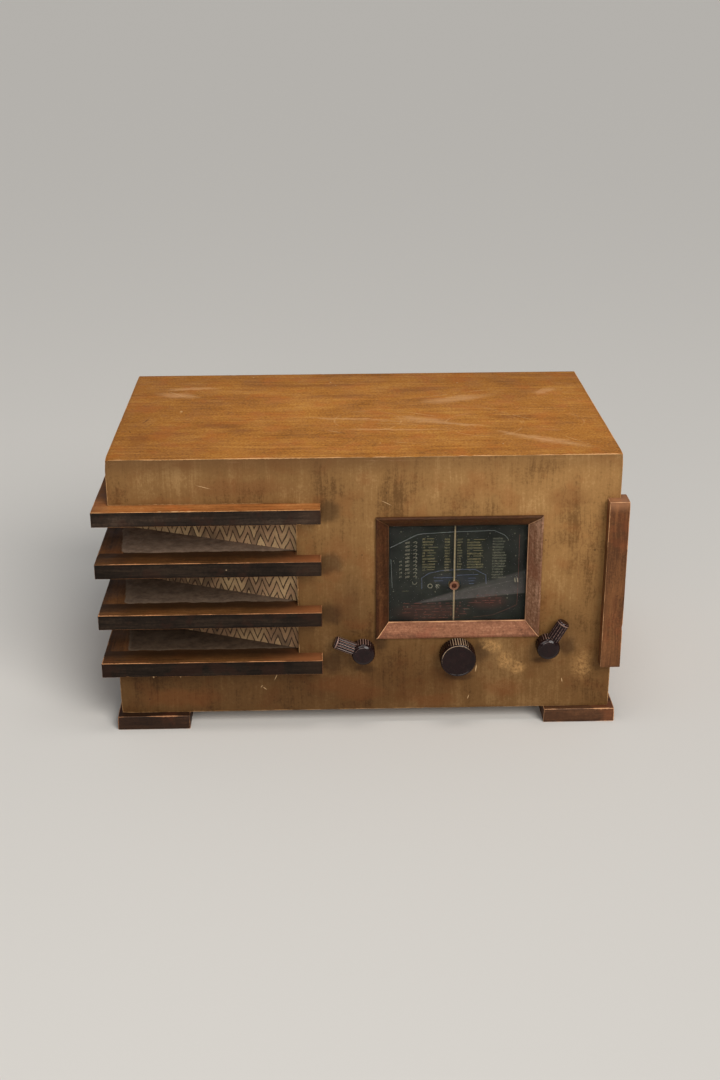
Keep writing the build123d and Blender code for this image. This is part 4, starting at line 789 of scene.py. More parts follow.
def strip_marks(m, st):
    st["col"] = m.mix(m.smooth(m.z, 222.0, 236.0, 0.0, 0.5), st["col"], lin(186, 130, 92))
    st["col"] = m.mix(m.smooth(m.z, 96.0, 66.0, 0.0, 0.4), st["col"], lin(70, 42, 24))
    knot = m.most([m.blob(m.mm, (234, 196), (2.4, 9), 0.15), m.blob(m.mm, (238, 130), (4, 12)), m.blob(m.mm, (233, 110), (2, 8))])
    st["col"] = m.mix(m.math("MULTIPLY", knot, 0.4), st["col"], lin(86, 48, 26))


strip_wood = wood("strip_wood", "z", lin(76, 46, 25), lin(104, 66, 37), lin(128, 84, 50), 11, edge="edge", bare=lin(196, 146, 104), wear=0.75, wear_mm=0.7, grime=0.2,
                  rough=(0.42, 0.58), coat=0.1, red=lin(128, 66, 36), red_amt=0.4, relief=0.05, extra=strip_marks)
# the left foot's wood is a darker copy of the right foot's, as painted shade on the left
foot_wood_shaded = wood("foot_wood_shaded", "x", lin(28, 16, 10), lin(44, 27, 17), lin(60, 38, 24), 12, edge="edge", bare=lin(172, 122, 84), wear=0.8, wear_mm=0.9, grime=0.25,
                 rough=(0.46, 0.62), coat=0.08, red=lin(92, 46, 28), red_amt=0.4, relief=0.06)
foot_wood_r = wood("foot_wood_r", "x", lin(48, 29, 17), lin(70, 44, 27), lin(92, 60, 38), 13, edge="edge", bare=lin(196, 146, 104), wear=0.85, wear_mm=0.9, grime=0.2,
                   rough=(0.46, 0.62), coat=0.08, red=lin(128, 72, 42), red_amt=0.4, relief=0.06)

# ---------------------------------------------------------------- cabinet pieces
D, TOPZ = 286.5, 277.8
blocks("top_board", [((-240, 0, 267.8), (240, D, TOPZ))], None, "cabinet", ["top_panel"], flat=[(2, -1)], mats=[wood_top, wood_front],
       face_mat=lambda c, n: 1 if n == (1, -1) else 0, r=1.0, step=(2.4, 9, 5), wobble=0.18, chip=0.9, seed=1,
       chips=[(4.8, 0, 277.8, 9, 0.9), (30, 0, 277.8, 12, 0.7), (46.4, 0, 277.8, 7, 0.8), (84, 0, 277.8, 6, 0.9), (96.4, 0, 277.8, 6, 0.7), (-239, 1, 277, 9, 1.2),
              (239, 1, 277, 7, 0.8), (-120, 0, 277.8, 8, 0.5), (180, 0, 277.8, 9, 0.5)],
       cut=[((-237, 282.5, 267.8), (237, D, 274.8))])
HOLES = [((x - 4.4, 0, z - 4.4), (x + 4.4, 10, z + 4.4)) for x, z in ((-2.6, 82.0), (89.0, 75.0), (176.1, 84.8))]
blocks("front_board", [((-240, 0, 232.7), (240, 10, 267.8)), ((-240, 0, 15), (240, 10, 62.8)), ((-65, 0, 15), (12.5, 10, 267.8)), ((165.5, 0, 15), (240, 10, 267.8)),
                       ((-65, 0, 15), (240, 10, 95.3)), ((-65, 0, 215.5), (240, 10, 267.8))],
       wood_front, "cabinet", ["front_panel"], flat=[(2, 1)], r=0.7, step=(6, 5, 6), wobble=0.10, chip=0.6, seed=2,
       chips=[(-239, 0, 16, 7, 0.9), (239, 0, 16, 6, 0.7), (60, 0, 15, 6, 0.5)], cut=HOLES)
blocks("left_side", [((-240, 10, 15), (-230, D, 62.8)), ((-240, 10, 232.7), (-230, D, 267.8)), ((-240, 84, 15), (-230, D, 267.8))], wood_side, "cabinet",
       ["left_side_panel"], r=0.7, step=(5, 6, 6), wobble=0.1, chip=0.5, seed=3, cut=[((-237, 282.5, 15), (-230, D, 267.8))])
blocks("right_side", [((230, 10, 15), (240, D, 267.8))], wood_side, "cabinet", ["right_side_panel"], r=0.7, step=(5, 6, 6), wobble=0.1, chip=0.5, seed=4,
       cut=[((230, 282.5, 15), (237, D, 267.8))])
blocks("foot_rail_left", [((-244, -7.5, 0), (-172.8, 274.5, 15))], foot_wood_shaded, "cabinet", ["foot_left"], r=1.3, step=(3, 7, 3), wobble=0.25, chip=0.9, seed=5,
       chips=[(-243, -7, 15, 6, 0.9), (-174, -7, 14, 6, 0.7)])
blocks("foot_rail_right", [((175.5, -6, 0), (246, 274.5, 15))], foot_wood_r, "cabinet", ["foot_right"], r=1.3, step=(3, 7, 3), wobble=0.25, chip=0.9, seed=6,
       chips=[(176, -6, 14, 5, 0.8), (245, -6, 14, 6, 0.8)])
blocks("corner_moulding", [((227.5, -12.5, 63), (247, 0, 234.5)), ((240, -12.5, 63), (247, 9.5, 234.5))], strip_wood, "cabinet", ["corner_strip"], r=0.8,
       step=(3, 3, 2.2), wobble=0.22, chip=0.8, seed=7, chips=[(246.5, -12, 105, 4, 1.1), (246, -12, 234, 4, 0.5), (228, -12.5, 234, 4, 0.6)])

for i, top in enumerate((232.7, 180.8, 128.3, 77.8), 1):
    z0 = top - 15.0
    spots = {1: [(-176, -17.5, top, 6, 1.1), (-163, -17.5, top, 4, 0.8), (-62, -17.5, z0, 4, 0.6)], 2: [(-120, -17.5, top, 4, 0.5), (-200, -17.5, z0, 4, 0.6)],
             3: [(-210, -17.5, top, 4, 0.6)], 4: [(-230, -17.5, z0, 5, 0.8), (-205, -17.5, z0, 4, 0.7), (-183, -17.5, z0, 3, 0.7)]}[i]
    blocks(f"rail_{i}_front", [((-254, -17.5, z0), (-41.5, 0, top)), ((-254, -17.5, z0), (-65, 10, top))], None, "cabinet", [f"louvre_{i}_front"], r=0.8,
           step=(2.2, 4, 4), flat=[(1, 1)], wobble=0.28, chip=0.9, seed=10 + i, chips=spots, mats=[rail1_top if i == 1 else rail_top_shaded, rail_face],
           face_mat=lambda c, n: 0 if n[0] == 2 else 1)
    blocks(f"rail_{i}_side", [((-254, 10, z0), (-230, 84, top)), ((-254, 10, z0), (-240, 108, top))], None, "cabinet", [f"louvre_{i}_side"], r=0.8,
           step=(4, 2.2, 4), flat=[(1, -1), (0, 1)], wobble=0.28, chip=0.9, seed=20 + i, mats=[rail1_top if i == 1 else rail_side_top_shaded, rail_face_y], face_mat=lambda c, n: 0 if n[0] == 2 else 1)

# ---------------------------------------------------------------- speaker cloth
ANG = math.radians(22.54)
BX, BY, NX, NY = math.cos(ANG), -math.sin(ANG), math.sin(ANG), math.cos(ANG)
CL = 165.0 / math.cos(ANG) - 0.4
CZ0, CZ1 = 66.0, 229.7


def cloth_material():
    m = Mat("grille_cloth", spec=0.25, sheen=0.15)
    wob = m.vmath("SCALE", m.vmath("SUBTRACT", m.noise(m.mm, 0.07, 3.0, 0.6, color=True), (0.5, 0.5, 0.5)), scale=1.3)
    v = m.vmath("ADD", m.mm, wob)
    s = m.nt.nodes.new("ShaderNodeSeparateXYZ")
    m.put(s.inputs[0], v)
    u = m.math("ADD", m.math("MULTIPLY", m.math("SUBTRACT", s.outputs[0], -65.0), BX), m.math("MULTIPLY", m.math("SUBTRACT", s.outputs[1], 11.0), BY))
    jit = m.math("MULTIPLY", m.math("SUBTRACT", m.noise(m.vmath("MULTIPLY", m.mm, (0.11, 0.0, 0.05)), 1.0, 1.0), 0.5), 4.0)
    u = m.math("ADD", u, jit)
    period, tall, rise = 14.8, 8.9, 11.6
    tri = m.math("PINGPONG", u, period / 2)
    f = m.math("ADD", s.outputs[2], m.math("MULTIPLY", tri, -2 * tall / (period / 2)))
    wave = m.math("PINGPONG", f, rise / 2)
    line = m.smooth(wave, 1.85, 1.30)
    band = m.math("FLOOR", m.math("DIVIDE", f, rise))
    tone = m.noise(m.vec(m.math("MULTIPLY", band, 3.17), m.math("MULTIPLY", u, 0.035), m.math("MULTIPLY", s.outputs[2], 0.02)), 1.0, 2.0)
    warp = m.math("SINE", m.math("MULTIPLY", u, 2 * math.pi / 0.9))
    weft = m.math("SINE", m.math("MULTIPLY", m.z, 2 * math.pi / 0.8))
    weave = m.math("MULTIPLY", warp, weft)
    yarn = m.noise(m.vmath("MULTIPLY", m.mm, (1.6, 1.6, 0.5)), 1.0, 3.0, 0.65)
    base = m.ramp(tone, [(0.34, lin(122, 98, 72)), (0.46, lin(178, 140, 104)), (0.52, lin(188, 154, 112)), (0.64, lin(212, 178, 130))])
    base = m.mix(m.smooth(yarn, 0.35, 0.7, 0.0, 0.35), base, lin(120, 94, 68))
    base = m.mix(m.smooth(weave, -0.2, -0.9, 0.0, 0.30), base, lin(88, 66, 46))
    ragged = m.smooth(m.noise(m.mm, 0.9, 2.0), 0.25, 0.55, 0.6, 1.0)
    col = m.mix(m.math("MULTIPLY", line, m.math("MULTIPLY", ragged, 0.92)), base, lin(38, 20, 12))
    # painted shade: darker towards the bottom
    col = m.mix(m.smooth(m.z, 170.0, 80.0, 0.0, 0.75), col, (0.62, 0.56, 0.52, 1.0), "MULTIPLY")
    age = m.smooth(m.noise(m.mm, 0.02, 4.0, 0.6), 0.42, 0.7, 0.0, 0.35)
    col = m.mix(age, col, lin(92, 66, 44))
    h = m.math("ADD", m.math("MULTIPLY", weave, 0.5), m.math("MULTIPLY", yarn, 0.5))
    return m.finish(col, m.smooth(yarn, 0.3, 0.7, 0.82, 0.95), h, 0.12)


def cloth_mesh():
    nu, nz = 132, 122
    verts, faces = [], []
    sd = Vector((3.3, 8.1, 2.2))
    for side in (0, 1):
        for i in range(nu + 1):
            for k in range(nz + 1):
                u = -CL * (1 - i / nu)
                z = CZ0 + (CZ1 - CZ0) * k / nz
                p = Vector((u, 0, z))
                sag = 0.10 + 0.09 * mnoise.noise(p * 0.03 + sd) + 0.05 * mnoise.noise(p * 0.11 + sd)
                edge = min(i, nu - i, k, nz - k) / 6.0
                d = 0.02 + max(0.0, sag) * min(1.0, edge) + (0.55 if side else 0.0)
                verts.append((-65.0 + BX * u + NX * d, 11.0 + BY * u + NY * d, z))
    w = nz + 1
    off = (nu + 1) * w
    for i in range(nu):
        for k in range(nz):
            a = i * w + k
            faces.append([a, a + w, a + w + 1, a + 1])
            faces.append([off + a, off + a + 1, off + a + w + 1, off + a + w])
    for i in range(nu):
        a, b = i * w, (i + 1) * w
        faces.append([a, off + a, off + b, b])
        a, b = i * w + nz, (i + 1) * w + nz
        faces.append([a, b, off + b, off + a])
    for k in range(nz):
        a = k
        faces.append([a, a + 1, off + a + 1, off + a])
        a = nu * w + k
        faces.append([a, off + a, off + a + 1, a + 1])
    ob = add("grille_cloth", verts, faces, [cloth_material()], "cabinet", ["speaker_cloth"], angle=60)
    turn_out(ob)
    return ob


cloth = cloth_mesh()


# ---------------------------------------------------------------- dial bezel
def rounded(points, radii, seg=3, step=2.2):
    """Closed outline with rounded corners; returns points and each one's distance to the nearest corner."""
    out = []
    n = len(points)
    for i in range(n):
        p0, p, p1 = Vector(points[i - 1]), Vector(points[i]), Vector(points[(i + 1) % n])
        r = radii[i]
        a, b = (p0 - p).normalized(), (p1 - p).normalized()
        if r <= 0:
            out.append((p, 9.0))
            continue
        half = math.acos(max(-1, min(1, a.dot(b)))) / 2
        t = min(r / math.tan(half), 0.45 * (p0 - p).length, 0.45 * (p1 - p).length)
        s, e = p + a * t, p + b * t
        for k in range(seg + 1):
            f = k / seg
            q = s * (1 - f) ** 2 + p * 2 * f * (1 - f) + e * f * f
            out.append((q, 0.0))
    full = []
    m = len(out)
    for i in range(m):
        (p, d), (q, e) = out[i], out[(i + 1) % m]
        full.append((p, d))
        length = (q - p).length
        if length > 1.2:
            cuts = [0.8 / length] + [k / max(1, int(length / step)) for k in range(1, int(length / step))] + [1 - 0.8 / length]
            for f in sorted(set(c for c in cuts if 0 < c < 1)):
                full.append((p.lerp(q, f), min(f * length + (0 if d == 0 else 9), (1 - f) * length + (0 if e == 0 else 9))))
    return full


X0, X1, Z0, Z1 = 10.0, 168.0, 92.8, 218.0
PROFILE = [(0, 0), (-3, 0), (-3.5, 1.6), (8.4, 12.6), (10, 12.6), (10, 2.5), (0, 2.5)]
PR = rounded(PROFILE, [0, 0.5, 0.45, 0.5, 0, 0, 0])


def bezel_marks(inner_shade, rim):
    def f(m, st):
        # painted shade: darker towards the inner edge, in the recess
        if inner_shade > 0:
            st["col"] = m.mix(m.smooth(m.y, 1.0, 8.4, 0.0, inner_shade), st["col"], lin(40, 24, 14))
        blot = m.smooth(m.noise(m.mm, 0.16, 5.0, 0.75), 0.42, 0.62, 0.0, 0.35)
        st["col"] = m.mix(blot, st["col"], (0.50, 0.44, 0.38, 1.0), "MULTIPLY")
        # painted shadow along the outer rim
        st["col"] = m.mix(m.smooth(m.y, -2.2, -3.0, 0.0, rim), st["col"], (0.42, 0.36, 0.30, 1.0), "MULTIPLY")
    return f


# the four members are lit and shaded copies of one wood: bottom and right lighter as painted light, top and left
# darker as painted shade
bz_bottom_lit = wood("bezel_bottom", "x", lin(104, 66, 46), lin(134, 88, 63), lin(160, 112, 84), 31, edge="edge", bare=lin(214, 162, 118), wear=0.85, wear_mm=0.7, grime=0.10,
                 rough=(0.38, 0.52), coat=0.0, red=lin(140, 76, 54), red_amt=0.5, relief=0.05, fibre=0.4, speckle=0.5, extra=bezel_marks(0.0, 0.35))
bz_top_shaded = wood("bezel_top", "x", lin(56, 35, 19), lin(80, 52, 30), lin(102, 68, 42), 32, edge="edge", bare=lin(140, 98, 62), wear=0.4, wear_mm=0.5, grime=0.2,
              rough=(0.4, 0.55), coat=0.0, red=lin(84, 44, 26), red_amt=0.4, relief=0.05, fibre=0.4, speckle=0.5, extra=bezel_marks(0.35, 0.5))
bz_left_shaded = wood("bezel_left", "z", lin(46, 27, 14), lin(68, 41, 23), lin(90, 58, 34), 33, edge="edge", bare=lin(140, 98, 62), wear=0.4, wear_mm=0.5, grime=0.2,
               rough=(0.4, 0.55), coat=0.0, red=lin(82, 42, 24), red_amt=0.4, relief=0.05, fibre=0.4, speckle=0.5, extra=bezel_marks(0.25, 0.5))
bz_right_lit = wood("bezel_right", "z", lin(88, 60, 43), lin(126, 90, 67), lin(160, 122, 97), 34, edge="edge", bare=lin(206, 158, 118), wear=0.8, wear_mm=0.6, grime=0.15,
                rough=(0.38, 0.52), coat=0.0, red=lin(116, 68, 48), red_amt=0.5, relief=0.05, fibre=0.4, speckle=0.5, extra=bezel_marks(0.0, 0.3))


def bezel(name, side, mat, node, seed):
    gap = 0.07
    length = (X1 - X0) if side in "bt" else (Z1 - Z0)
    n = int(length / 2.4)
    ts = sorted(set([0.0, 0.4 / length, 1.2 / length, 2.6 / length] + [k / n for k in range(2, n - 1)] + [1 - 2.6 / length, 1 - 1.2 / length, 1 - 0.4 / length, 1.0]))
    verts, faces, edge = [], [], []
    sd = Vector((seed * 3.7, seed, 0))
    for t in ts:
        for (q, d) in PR:
            y, s = q.x, q.y
            run = (length - 2 * s - 2 * gap) * t + s + gap
            e = min(d if s > 4 else 9.0, t * length, (1 - t) * length)
            pos = Vector((run, y, s))
            if d < 1.5 and s > 0.3 and y < 9.0:
                y += 0.10 * mnoise.noise(pos * 0.12 + sd) + 0.35 * max(0.0, mnoise.noise(pos * 0.45 + sd) - 0.28)
            if side == "b":
                verts.append((X0 + run, y, Z0 + s))
            elif side == "t":
                verts.append((X0 + run, y, Z1 - s))
            elif side == "l":
                verts.append((X0 + s, y, Z0 + run))
            else:
                verts.append((X1 - s, y, Z0 + run))
            edge.append(e)
    k = len(PR)
    for i in range(len(ts) - 1):
        for j in range(k):
            a, b = i * k + j, i * k + (j + 1) % k
            faces.append([a, b, b + k, a + k])
    faces.append(list(range(k)))
    faces.append([(len(ts) - 1) * k + j for j in range(k - 1, -1, -1)])
    ob = add(name, verts, faces, [mat], "cabinet", [node], attrs={"edge": edge}, angle=32)
    turn_out(ob)
    return ob


bezel("bezel_member_bottom", "b", bz_bottom_lit, "bezel_bottom", 1)
bezel("bezel_member_top", "t", bz_top_shaded, "bezel_top", 2)
bezel("bezel_member_left", "l", bz_left_shaded, "bezel_left", 3)
bezel("bezel_member_right", "r", bz_right_lit, "bezel_right", 4)

# ---------------------------------------------------------------- dial glass, plate, print
def glass(name, rough=0.013, ior=1.03, tint=(0.96, 0.96, 0.95, 1.0), seed=1.0, dull=0.94):
    m = Mat(name, ior=ior)
    v = m.vmath("ADD", m.mm, (seed, seed * 2, seed * 3))
    smear = m.noise(m.vmath("MULTIPLY", v, (0.06, 0.06, 0.16)), 1.0, 5.0, 0.65, 0.6)
    m.p.inputs["Transmission Weight"].default_value = 1.0
    m.p.inputs["Roughness"].default_value = rough
    m.put(m.p.inputs["Base Color"], m.ramp(smear, [(0.35, tint), (0.75, tuple(c * dull for c in tint[:3]))]))
    tr = m.nt.nodes.new("ShaderNodeBsdfTransparent")
    tr.inputs[0].default_value = (0.94, 0.94, 0.93, 1.0)
    lp = m.nt.nodes.new("ShaderNodeLightPath")
    mx = m.nt.nodes.new("ShaderNodeMixShader")
    m.nt.links.new(lp.outputs["Is Shadow Ray"], mx.inputs[0])
    m.nt.links.new(m.p.outputs[0], mx.inputs[1])
    m.nt.links.new(tr.outputs[0], mx.inputs[2])
    m.nt.links.new(mx.outputs[0], m.out.inputs["Surface"])
    return m.m


def plate_material():
    m = Mat("dial_plate", spec=0.08, coat=0.0)
    a = m.noise(m.mm, 0.035, 5.0, 0.65)
    b = m.noise(m.mm, 0.5, 4.0, 0.7)
    col = m.ramp(a, [(0.32, lin(19, 20, 18)), (0.52, lin(27, 28, 25)), (0.72, lin(38, 37, 32))])
    col = m.mix(m.smooth(b, 0.5, 0.75, 0.0, 0.07), col, lin(60, 58, 48))
    warm = m.most([m.blob(m.mm, (62, 112), (44, 12)), m.blob(m.mm, (120, 122), (24, 10))])
    col = m.mix(m.math("MULTIPLY", warm, 0.25), col, lin(70, 40, 32))
    col = m.mix(m.math("MULTIPLY", m.blob(m.mm, (88, 146), (30, 8)), 0.18), col, lin(40, 44, 60))
    sp = m.math("MULTIPLY", m.smooth(m.vor(m.mm, 0.14), 0.06, 0.03), 0.4)
    col = m.mix(sp, col, lin(110, 104, 86))
    # painted reflection of the glass: a pale wedge across the lower right
    run = m.math("SUBTRACT", m.x, 43.8)
    low = m.math("SUBTRACT", m.math("SUBTRACT", m.z, 120.8), m.math("MULTIPLY", run, 0.0878))
    high = m.math("SUBTRACT", m.math("MULTIPLY", run, 0.3157), m.math("SUBTRACT", m.z, 120.8))
    painted_reflection = m.math("MULTIPLY", m.smooth(low, -0.4, 1.0), m.smooth(high, -0.6, 2.2))
    painted_reflection = m.math("MULTIPLY", painted_reflection, m.smooth(low, 16.0, 1.0, 0.55, 1.0))
    thin = m.math("MULTIPLY", m.smooth(m.math("ABSOLUTE", m.math("SUBTRACT", low, m.math("MULTIPLY", run, 0.150))), 0.9, 0.1), m.smooth(run, 40.0, 60.0))
    painted_reflection = m.math("ADD", painted_reflection, m.math("MULTIPLY", thin, 0.35))
    painted_reflection = m.math("MULTIPLY", painted_reflection, m.smooth(m.noise(m.mm, 0.2, 4.0, 0.6), 0.3, 0.7, 0.75, 1.0))
    col = m.mix(m.math("MULTIPLY", painted_reflection, 0.42), col, lin(84, 79, 77))
    return m.finish(col, m.smooth(b, 0.3, 0.7, 0.45, 0.65), b, 0.01)


def ink(name, colour, seed, fade=0.45):
    m = Mat(name, spec=0.08)
    v = m.vmath("ADD", m.mm, (seed * 3.0, seed, seed * 2.0))
    a = m.noise(v, 0.45, 4.0, 0.7)
    b = m.noise(v, 0.06, 3.0, 0.6)
    k = m.math("MULTIPLY", m.smooth(a, 0.35, 0.65, 1.0, 1.0 - fade), m.smooth(b, 0.3, 0.7, 1.0, 0.7))
    col = m.mix(k, lin(34, 36, 31), colour)
    return m.finish(col, m.smooth(a, 0.3, 0.7, 0.5, 0.7), a, 0.01)


class Print:
    """Thin raised ink shapes on the scale plate, gathered in one mesh. Places are x, z in mm."""

    def __init__(self):
        self.v, self.f, self.mi = [], [], []
        self.front, self.back = 16.16, 16.21

    def prism(self, pts, mi):
        n, o = len(pts), len(self.v)
        self.v += [(x, self.front, z) for x, z in pts] + [(x, self.back, z) for x, z in pts]
        self.f.append([o + i for i in range(n)])
        self.f.append([o + n + i for i in range(n - 1, -1, -1)])
        self.f += [[o + (i + 1) % n, o + i, o + n + i, o + n + (i + 1) % n] for i in range(n)]
        self.mi += [mi] * (n + 2)

    def bar(self, x, z, w, h, ang=0.0, mi=0):
        c, s = math.cos(ang), math.sin(ang)
        self.prism([(x + a * w / 2 * c - b * h / 2 * s, z + a * w / 2 * s + b * h / 2 * c) for a, b in ((-1, -1), (1, -1), (1, 1), (-1, 1))], mi)

    def path(self, pts, w, mi=0):
        for (a, b), (c, d) in zip(pts, pts[1:]):
            ln = math.hypot(c - a, d - b)
            self.bar((a + c) / 2, (b + d) / 2, ln + w * 0.6, w, math.atan2(d - b, c - a), mi)

    def ring(self, x, z, r, w, mi=0, n=20, start=0.0, sweep=2 * math.pi):
        for k in range(n):
            a, b = start + sweep * k / n, start + sweep * (k + 1) / n
            self.prism([(x + (r - w / 2) * math.cos(a), z + (r - w / 2) * math.sin(a)), (x + (r + w / 2) * math.cos(a), z + (r + w / 2) * math.sin(a)),
                        (x + (r + w / 2) * math.cos(b), z + (r + w / 2) * math.sin(b)), (x + (r - w / 2) * math.cos(b), z + (r - w / 2) * math.sin(b))], mi)

    def text(self, s, x, z, size, mi=0, ang=0.0, shear=0.0):
        cu = bpy.data.curves.new("t", "FONT")
        cu.body = s
        cu.size = size
        cu.shear = shear
        cu.align_x = "LEFT"
        cu.resolution_u = 2
        ob = bpy.data.objects.new("t", cu)
        scene.collection.objects.link(ob)
        dg = bpy.context.evaluated_depsgraph_get()
        me = bpy.data.meshes.new_from_object(ob.evaluated_get(dg))
        c, sn = math.cos(ang), math.sin(ang)
        pts = [(x + p.co.x * c - p.co.y * sn, z + p.co.x * sn + p.co.y * c) for p in me.vertices]
        o = len(self.v)
        n = len(pts)
        self.v += [(a, self.front, b) for a, b in pts] + [(a, self.back, b) for a, b in pts]
        count = {}
        for poly in me.polygons:
            vs = list(poly.vertices)
            self.f.append([o + i for i in vs])
            self.f.append([o + n + i for i in reversed(vs)])
            self.mi += [mi, mi]
            for i, a in enumerate(vs):
                b = vs[(i + 1) % len(vs)]
                count[(a, b)] = count.get((a, b), 0) + 1
        for (a, b) in count:
            if (b, a) not in count:
                self.f.append([o + b, o + a, o + n + a, o + n + b])
                self.mi.append(mi)
        bpy.data.objects.remove(ob)
        bpy.data.curves.remove(cu)
        bpy.data.meshes.remove(me)


def cx(X):
    return 14.44 + 0.10134 * X


def cz(Y):
    return 214.2 - 0.10986 * Y


CREAM, OLIVE, LAV, REDB, PALE, GREY = 0, 1, 2, 3, 4, 5
pr = Print()
rnd = random.Random(11)
# outer contour line over the scales
pr.path([(cx(95), cz(310)), (cx(200), cz(262)), (cx(352), cz(190)), (cx(410), cz(182)), (cx(700), cz(168)), (cx(1080), cz(160)), (cx(1180), cz(204)), (cx(1212), cz(238))], 0.25, PALE)
# frame down the right side
pr.path([(cx(1322), cz(200)), (cx(1322), cz(700)), (cx(1318), cz(870)), (cx(1220), cz(915)), (cx(1080), cz(968)), (cx(900), cz(985))], 0.26, REDB)
pr.path([(cx(105), cz(420)), (cx(112), cz(560)), (cx(118), cz(690))], 0.2, PALE)
# left block: slanting rows of wave lengths, then a column of dashes and hooks
for k in range(10):
    y = 262 + k * 36
    if k > 4:
        pr.text(str(rnd.choice([16, 19, 25, 31, 41, 49])), cx(182), cz(y + 10), 2.7, CREAM, 0.12, 0.3)
    pr.text(str(rnd.choice([185, 210, 240, 285, 300, 345, 360, 410, 455, 505])), cx(238), cz(y + 14), 2.9, CREAM, 0.14, 0.3)
    pr.path([(cx(318), cz(y + 2)), (cx(338), cz(y - 8)), (cx(352), cz(y + 2)), (cx(340), cz(y + 14))], 0.36, CREAM)
pr.ring(cx(332), cz(640), 2.2, 0.35, CREAM, 12, math.pi * 0.9, math.pi * 1.1)
pr.bar(cx(245), cz(724), 6.5, 0.25, 0.0, OLIVE)
# columns of scale figures
for x0, x1, y0, y1, rows_n, mi in ((402, 566, 228, 520, 12, OLIVE), (612, 690, 232, 525, 12, OLIVE), (732, 800, 236, 520, 12, OLIVE), (826, 1018, 240, 500, 11, OLIVE),
                                   (1066, 1236, 232, 600, 15, GREY)):
    for k in range(rows_n):
        y = y0 + (y1 - y0) * k / (rows_n - 1)
        wide = (x1 - x0) * rnd.uniform(0.72, 1.0)
        size = 2.45
        txt = "".join(rnd.choice("0123456789") for _ in range(max(2, int(wide * 0.10134 / 1.45))))
        if wide > 90 and x0 < 1000 and rnd.random() < 0.3:
            pr.text(txt[:2], cx(x0), cz(y + 12), size, mi, 0.0, 0.15)
            pr.bar(cx(x0 + wide * 0.62), cz(y + 2), wide * 0.10134 * 0.55, 0.36, 0.0, mi)
        else:
            pr.text(txt, cx(x0), cz(y + 12), size, mi, 0.0, 0.15)
# inner contour with its two bars, steps and rings
pr.path([(cx(402), cz(705)), (cx(400), cz(600)), (cx(468), cz(556)), (cx(585), cz(532)), (cx(760), cz(524)), (cx(905), cz(525)), (cx(1012), cz(580)), (cx(1016), cz(665))], 0.27, LAV)
pr.bar(cx(620), cz(600), 21.5, 0.24, 0.0, LAV)
pr.bar(cx(838), cz(576), 20.5, 0.24, 0.03, LAV)
pr.bar(cx(560), cz(630), 8.5, 0.26, 0.0, LAV)
for k in range(3):
    pr.bar(cx(876), cz(608 + 26 * k), 7.0 - 1.0 * k, 0.2, 0.02, LAV)
pr.ring(cx(480), cz(678), 2.1, 0.5, CREAM)
pr.ring(cx(556), cz(684), 1.9, 0.45, CREAM, 14, 0.2, math.pi * 1.35)
pr.path([(cx(536), cz(662)), (cx(566), cz(700))], 0.4, CREAM)
# lower scale: rows of short red dashes and figures
for x0, x1, ys, mi in ((205, 860, (842, 872, 900, 930), REDB), (905, 1170, (775, 800, 826, 848), REDB), (330, 780, (955, 985), REDB)):
    for y in ys:
        x = x0 + rnd.uniform(0, 30)
        while x < x1:
            w = rnd.uniform(30, 90)
            if rnd.random() < 0.4:
                pr.text(str(rnd.randint(10, 99)), cx(x), cz(y + 8), 2.2, mi, 0.0, 0.1)
                w = 45
            else:
                pr.bar(cx(x + w / 2), cz(y + rnd.uniform(-4, 4)), w * 0.10134, 0.34, rnd.uniform(-0.04, 0.04), mi)
            x += w + rnd.uniform(14, 50)
pr.bar(cx(835), cz(906), 6.0, 0.25, 0.0, GREY)
# scale dots
for X, Y in ((200, 160), (455, 206), (660, 205), (830, 190), (1040, 186), (1275, 190), (1215, 250), (130, 435), (130, 725), (1290, 400), (530, 735), (588, 568), (265, 878),
             (1225, 770), (1222, 803)):
    pr.ring(cx(X), cz(Y), 0.36, 0.42, GREY, 8)
for X in (1292, 1316):
    pr.bar(cx(X), cz(632), 0.9, 4.6, 0.15, CREAM)
me_print = add("dial_print", pr.v, pr.f, [ink("ink_cream", lin(128, 122, 102), 1), ink("ink_olive", lin(114, 105, 70), 2), ink("ink_lavender", lin(88, 98, 132), 3),
                                          ink("ink_red", lin(98, 50, 39), 4), ink("ink_pale", lin(132, 138, 138), 5), ink("ink_grey", lin(98, 96, 80), 6)],
               "cabinet", smooth=False, face_mats=pr.mi)


# ---------------------------------------------------------------- knobs
# the pale colour on the knobs stands for rubbed wear and painted highlights
bak = moulded("bakelite_knob", lin(13, 5, 5), lin(30, 12, 12), 41, rough=(0.10, 0.20), coat=0.0, dust=0.02, swirl=0.5, edge="edge", worn=lin(166, 140, 112), ior=1.30, wear_and_highlight_amt=0.88)


bak_lever = moulded("bakelite_lever", lin(13, 5, 5), lin(32, 13, 14), 47, rough=(0.10, 0.20), coat=0.0, dust=0.02, swirl=0.5, edge="edge", worn=lin(140, 110, 98), ior=1.32, wear_and_highlight_amt=0.80)


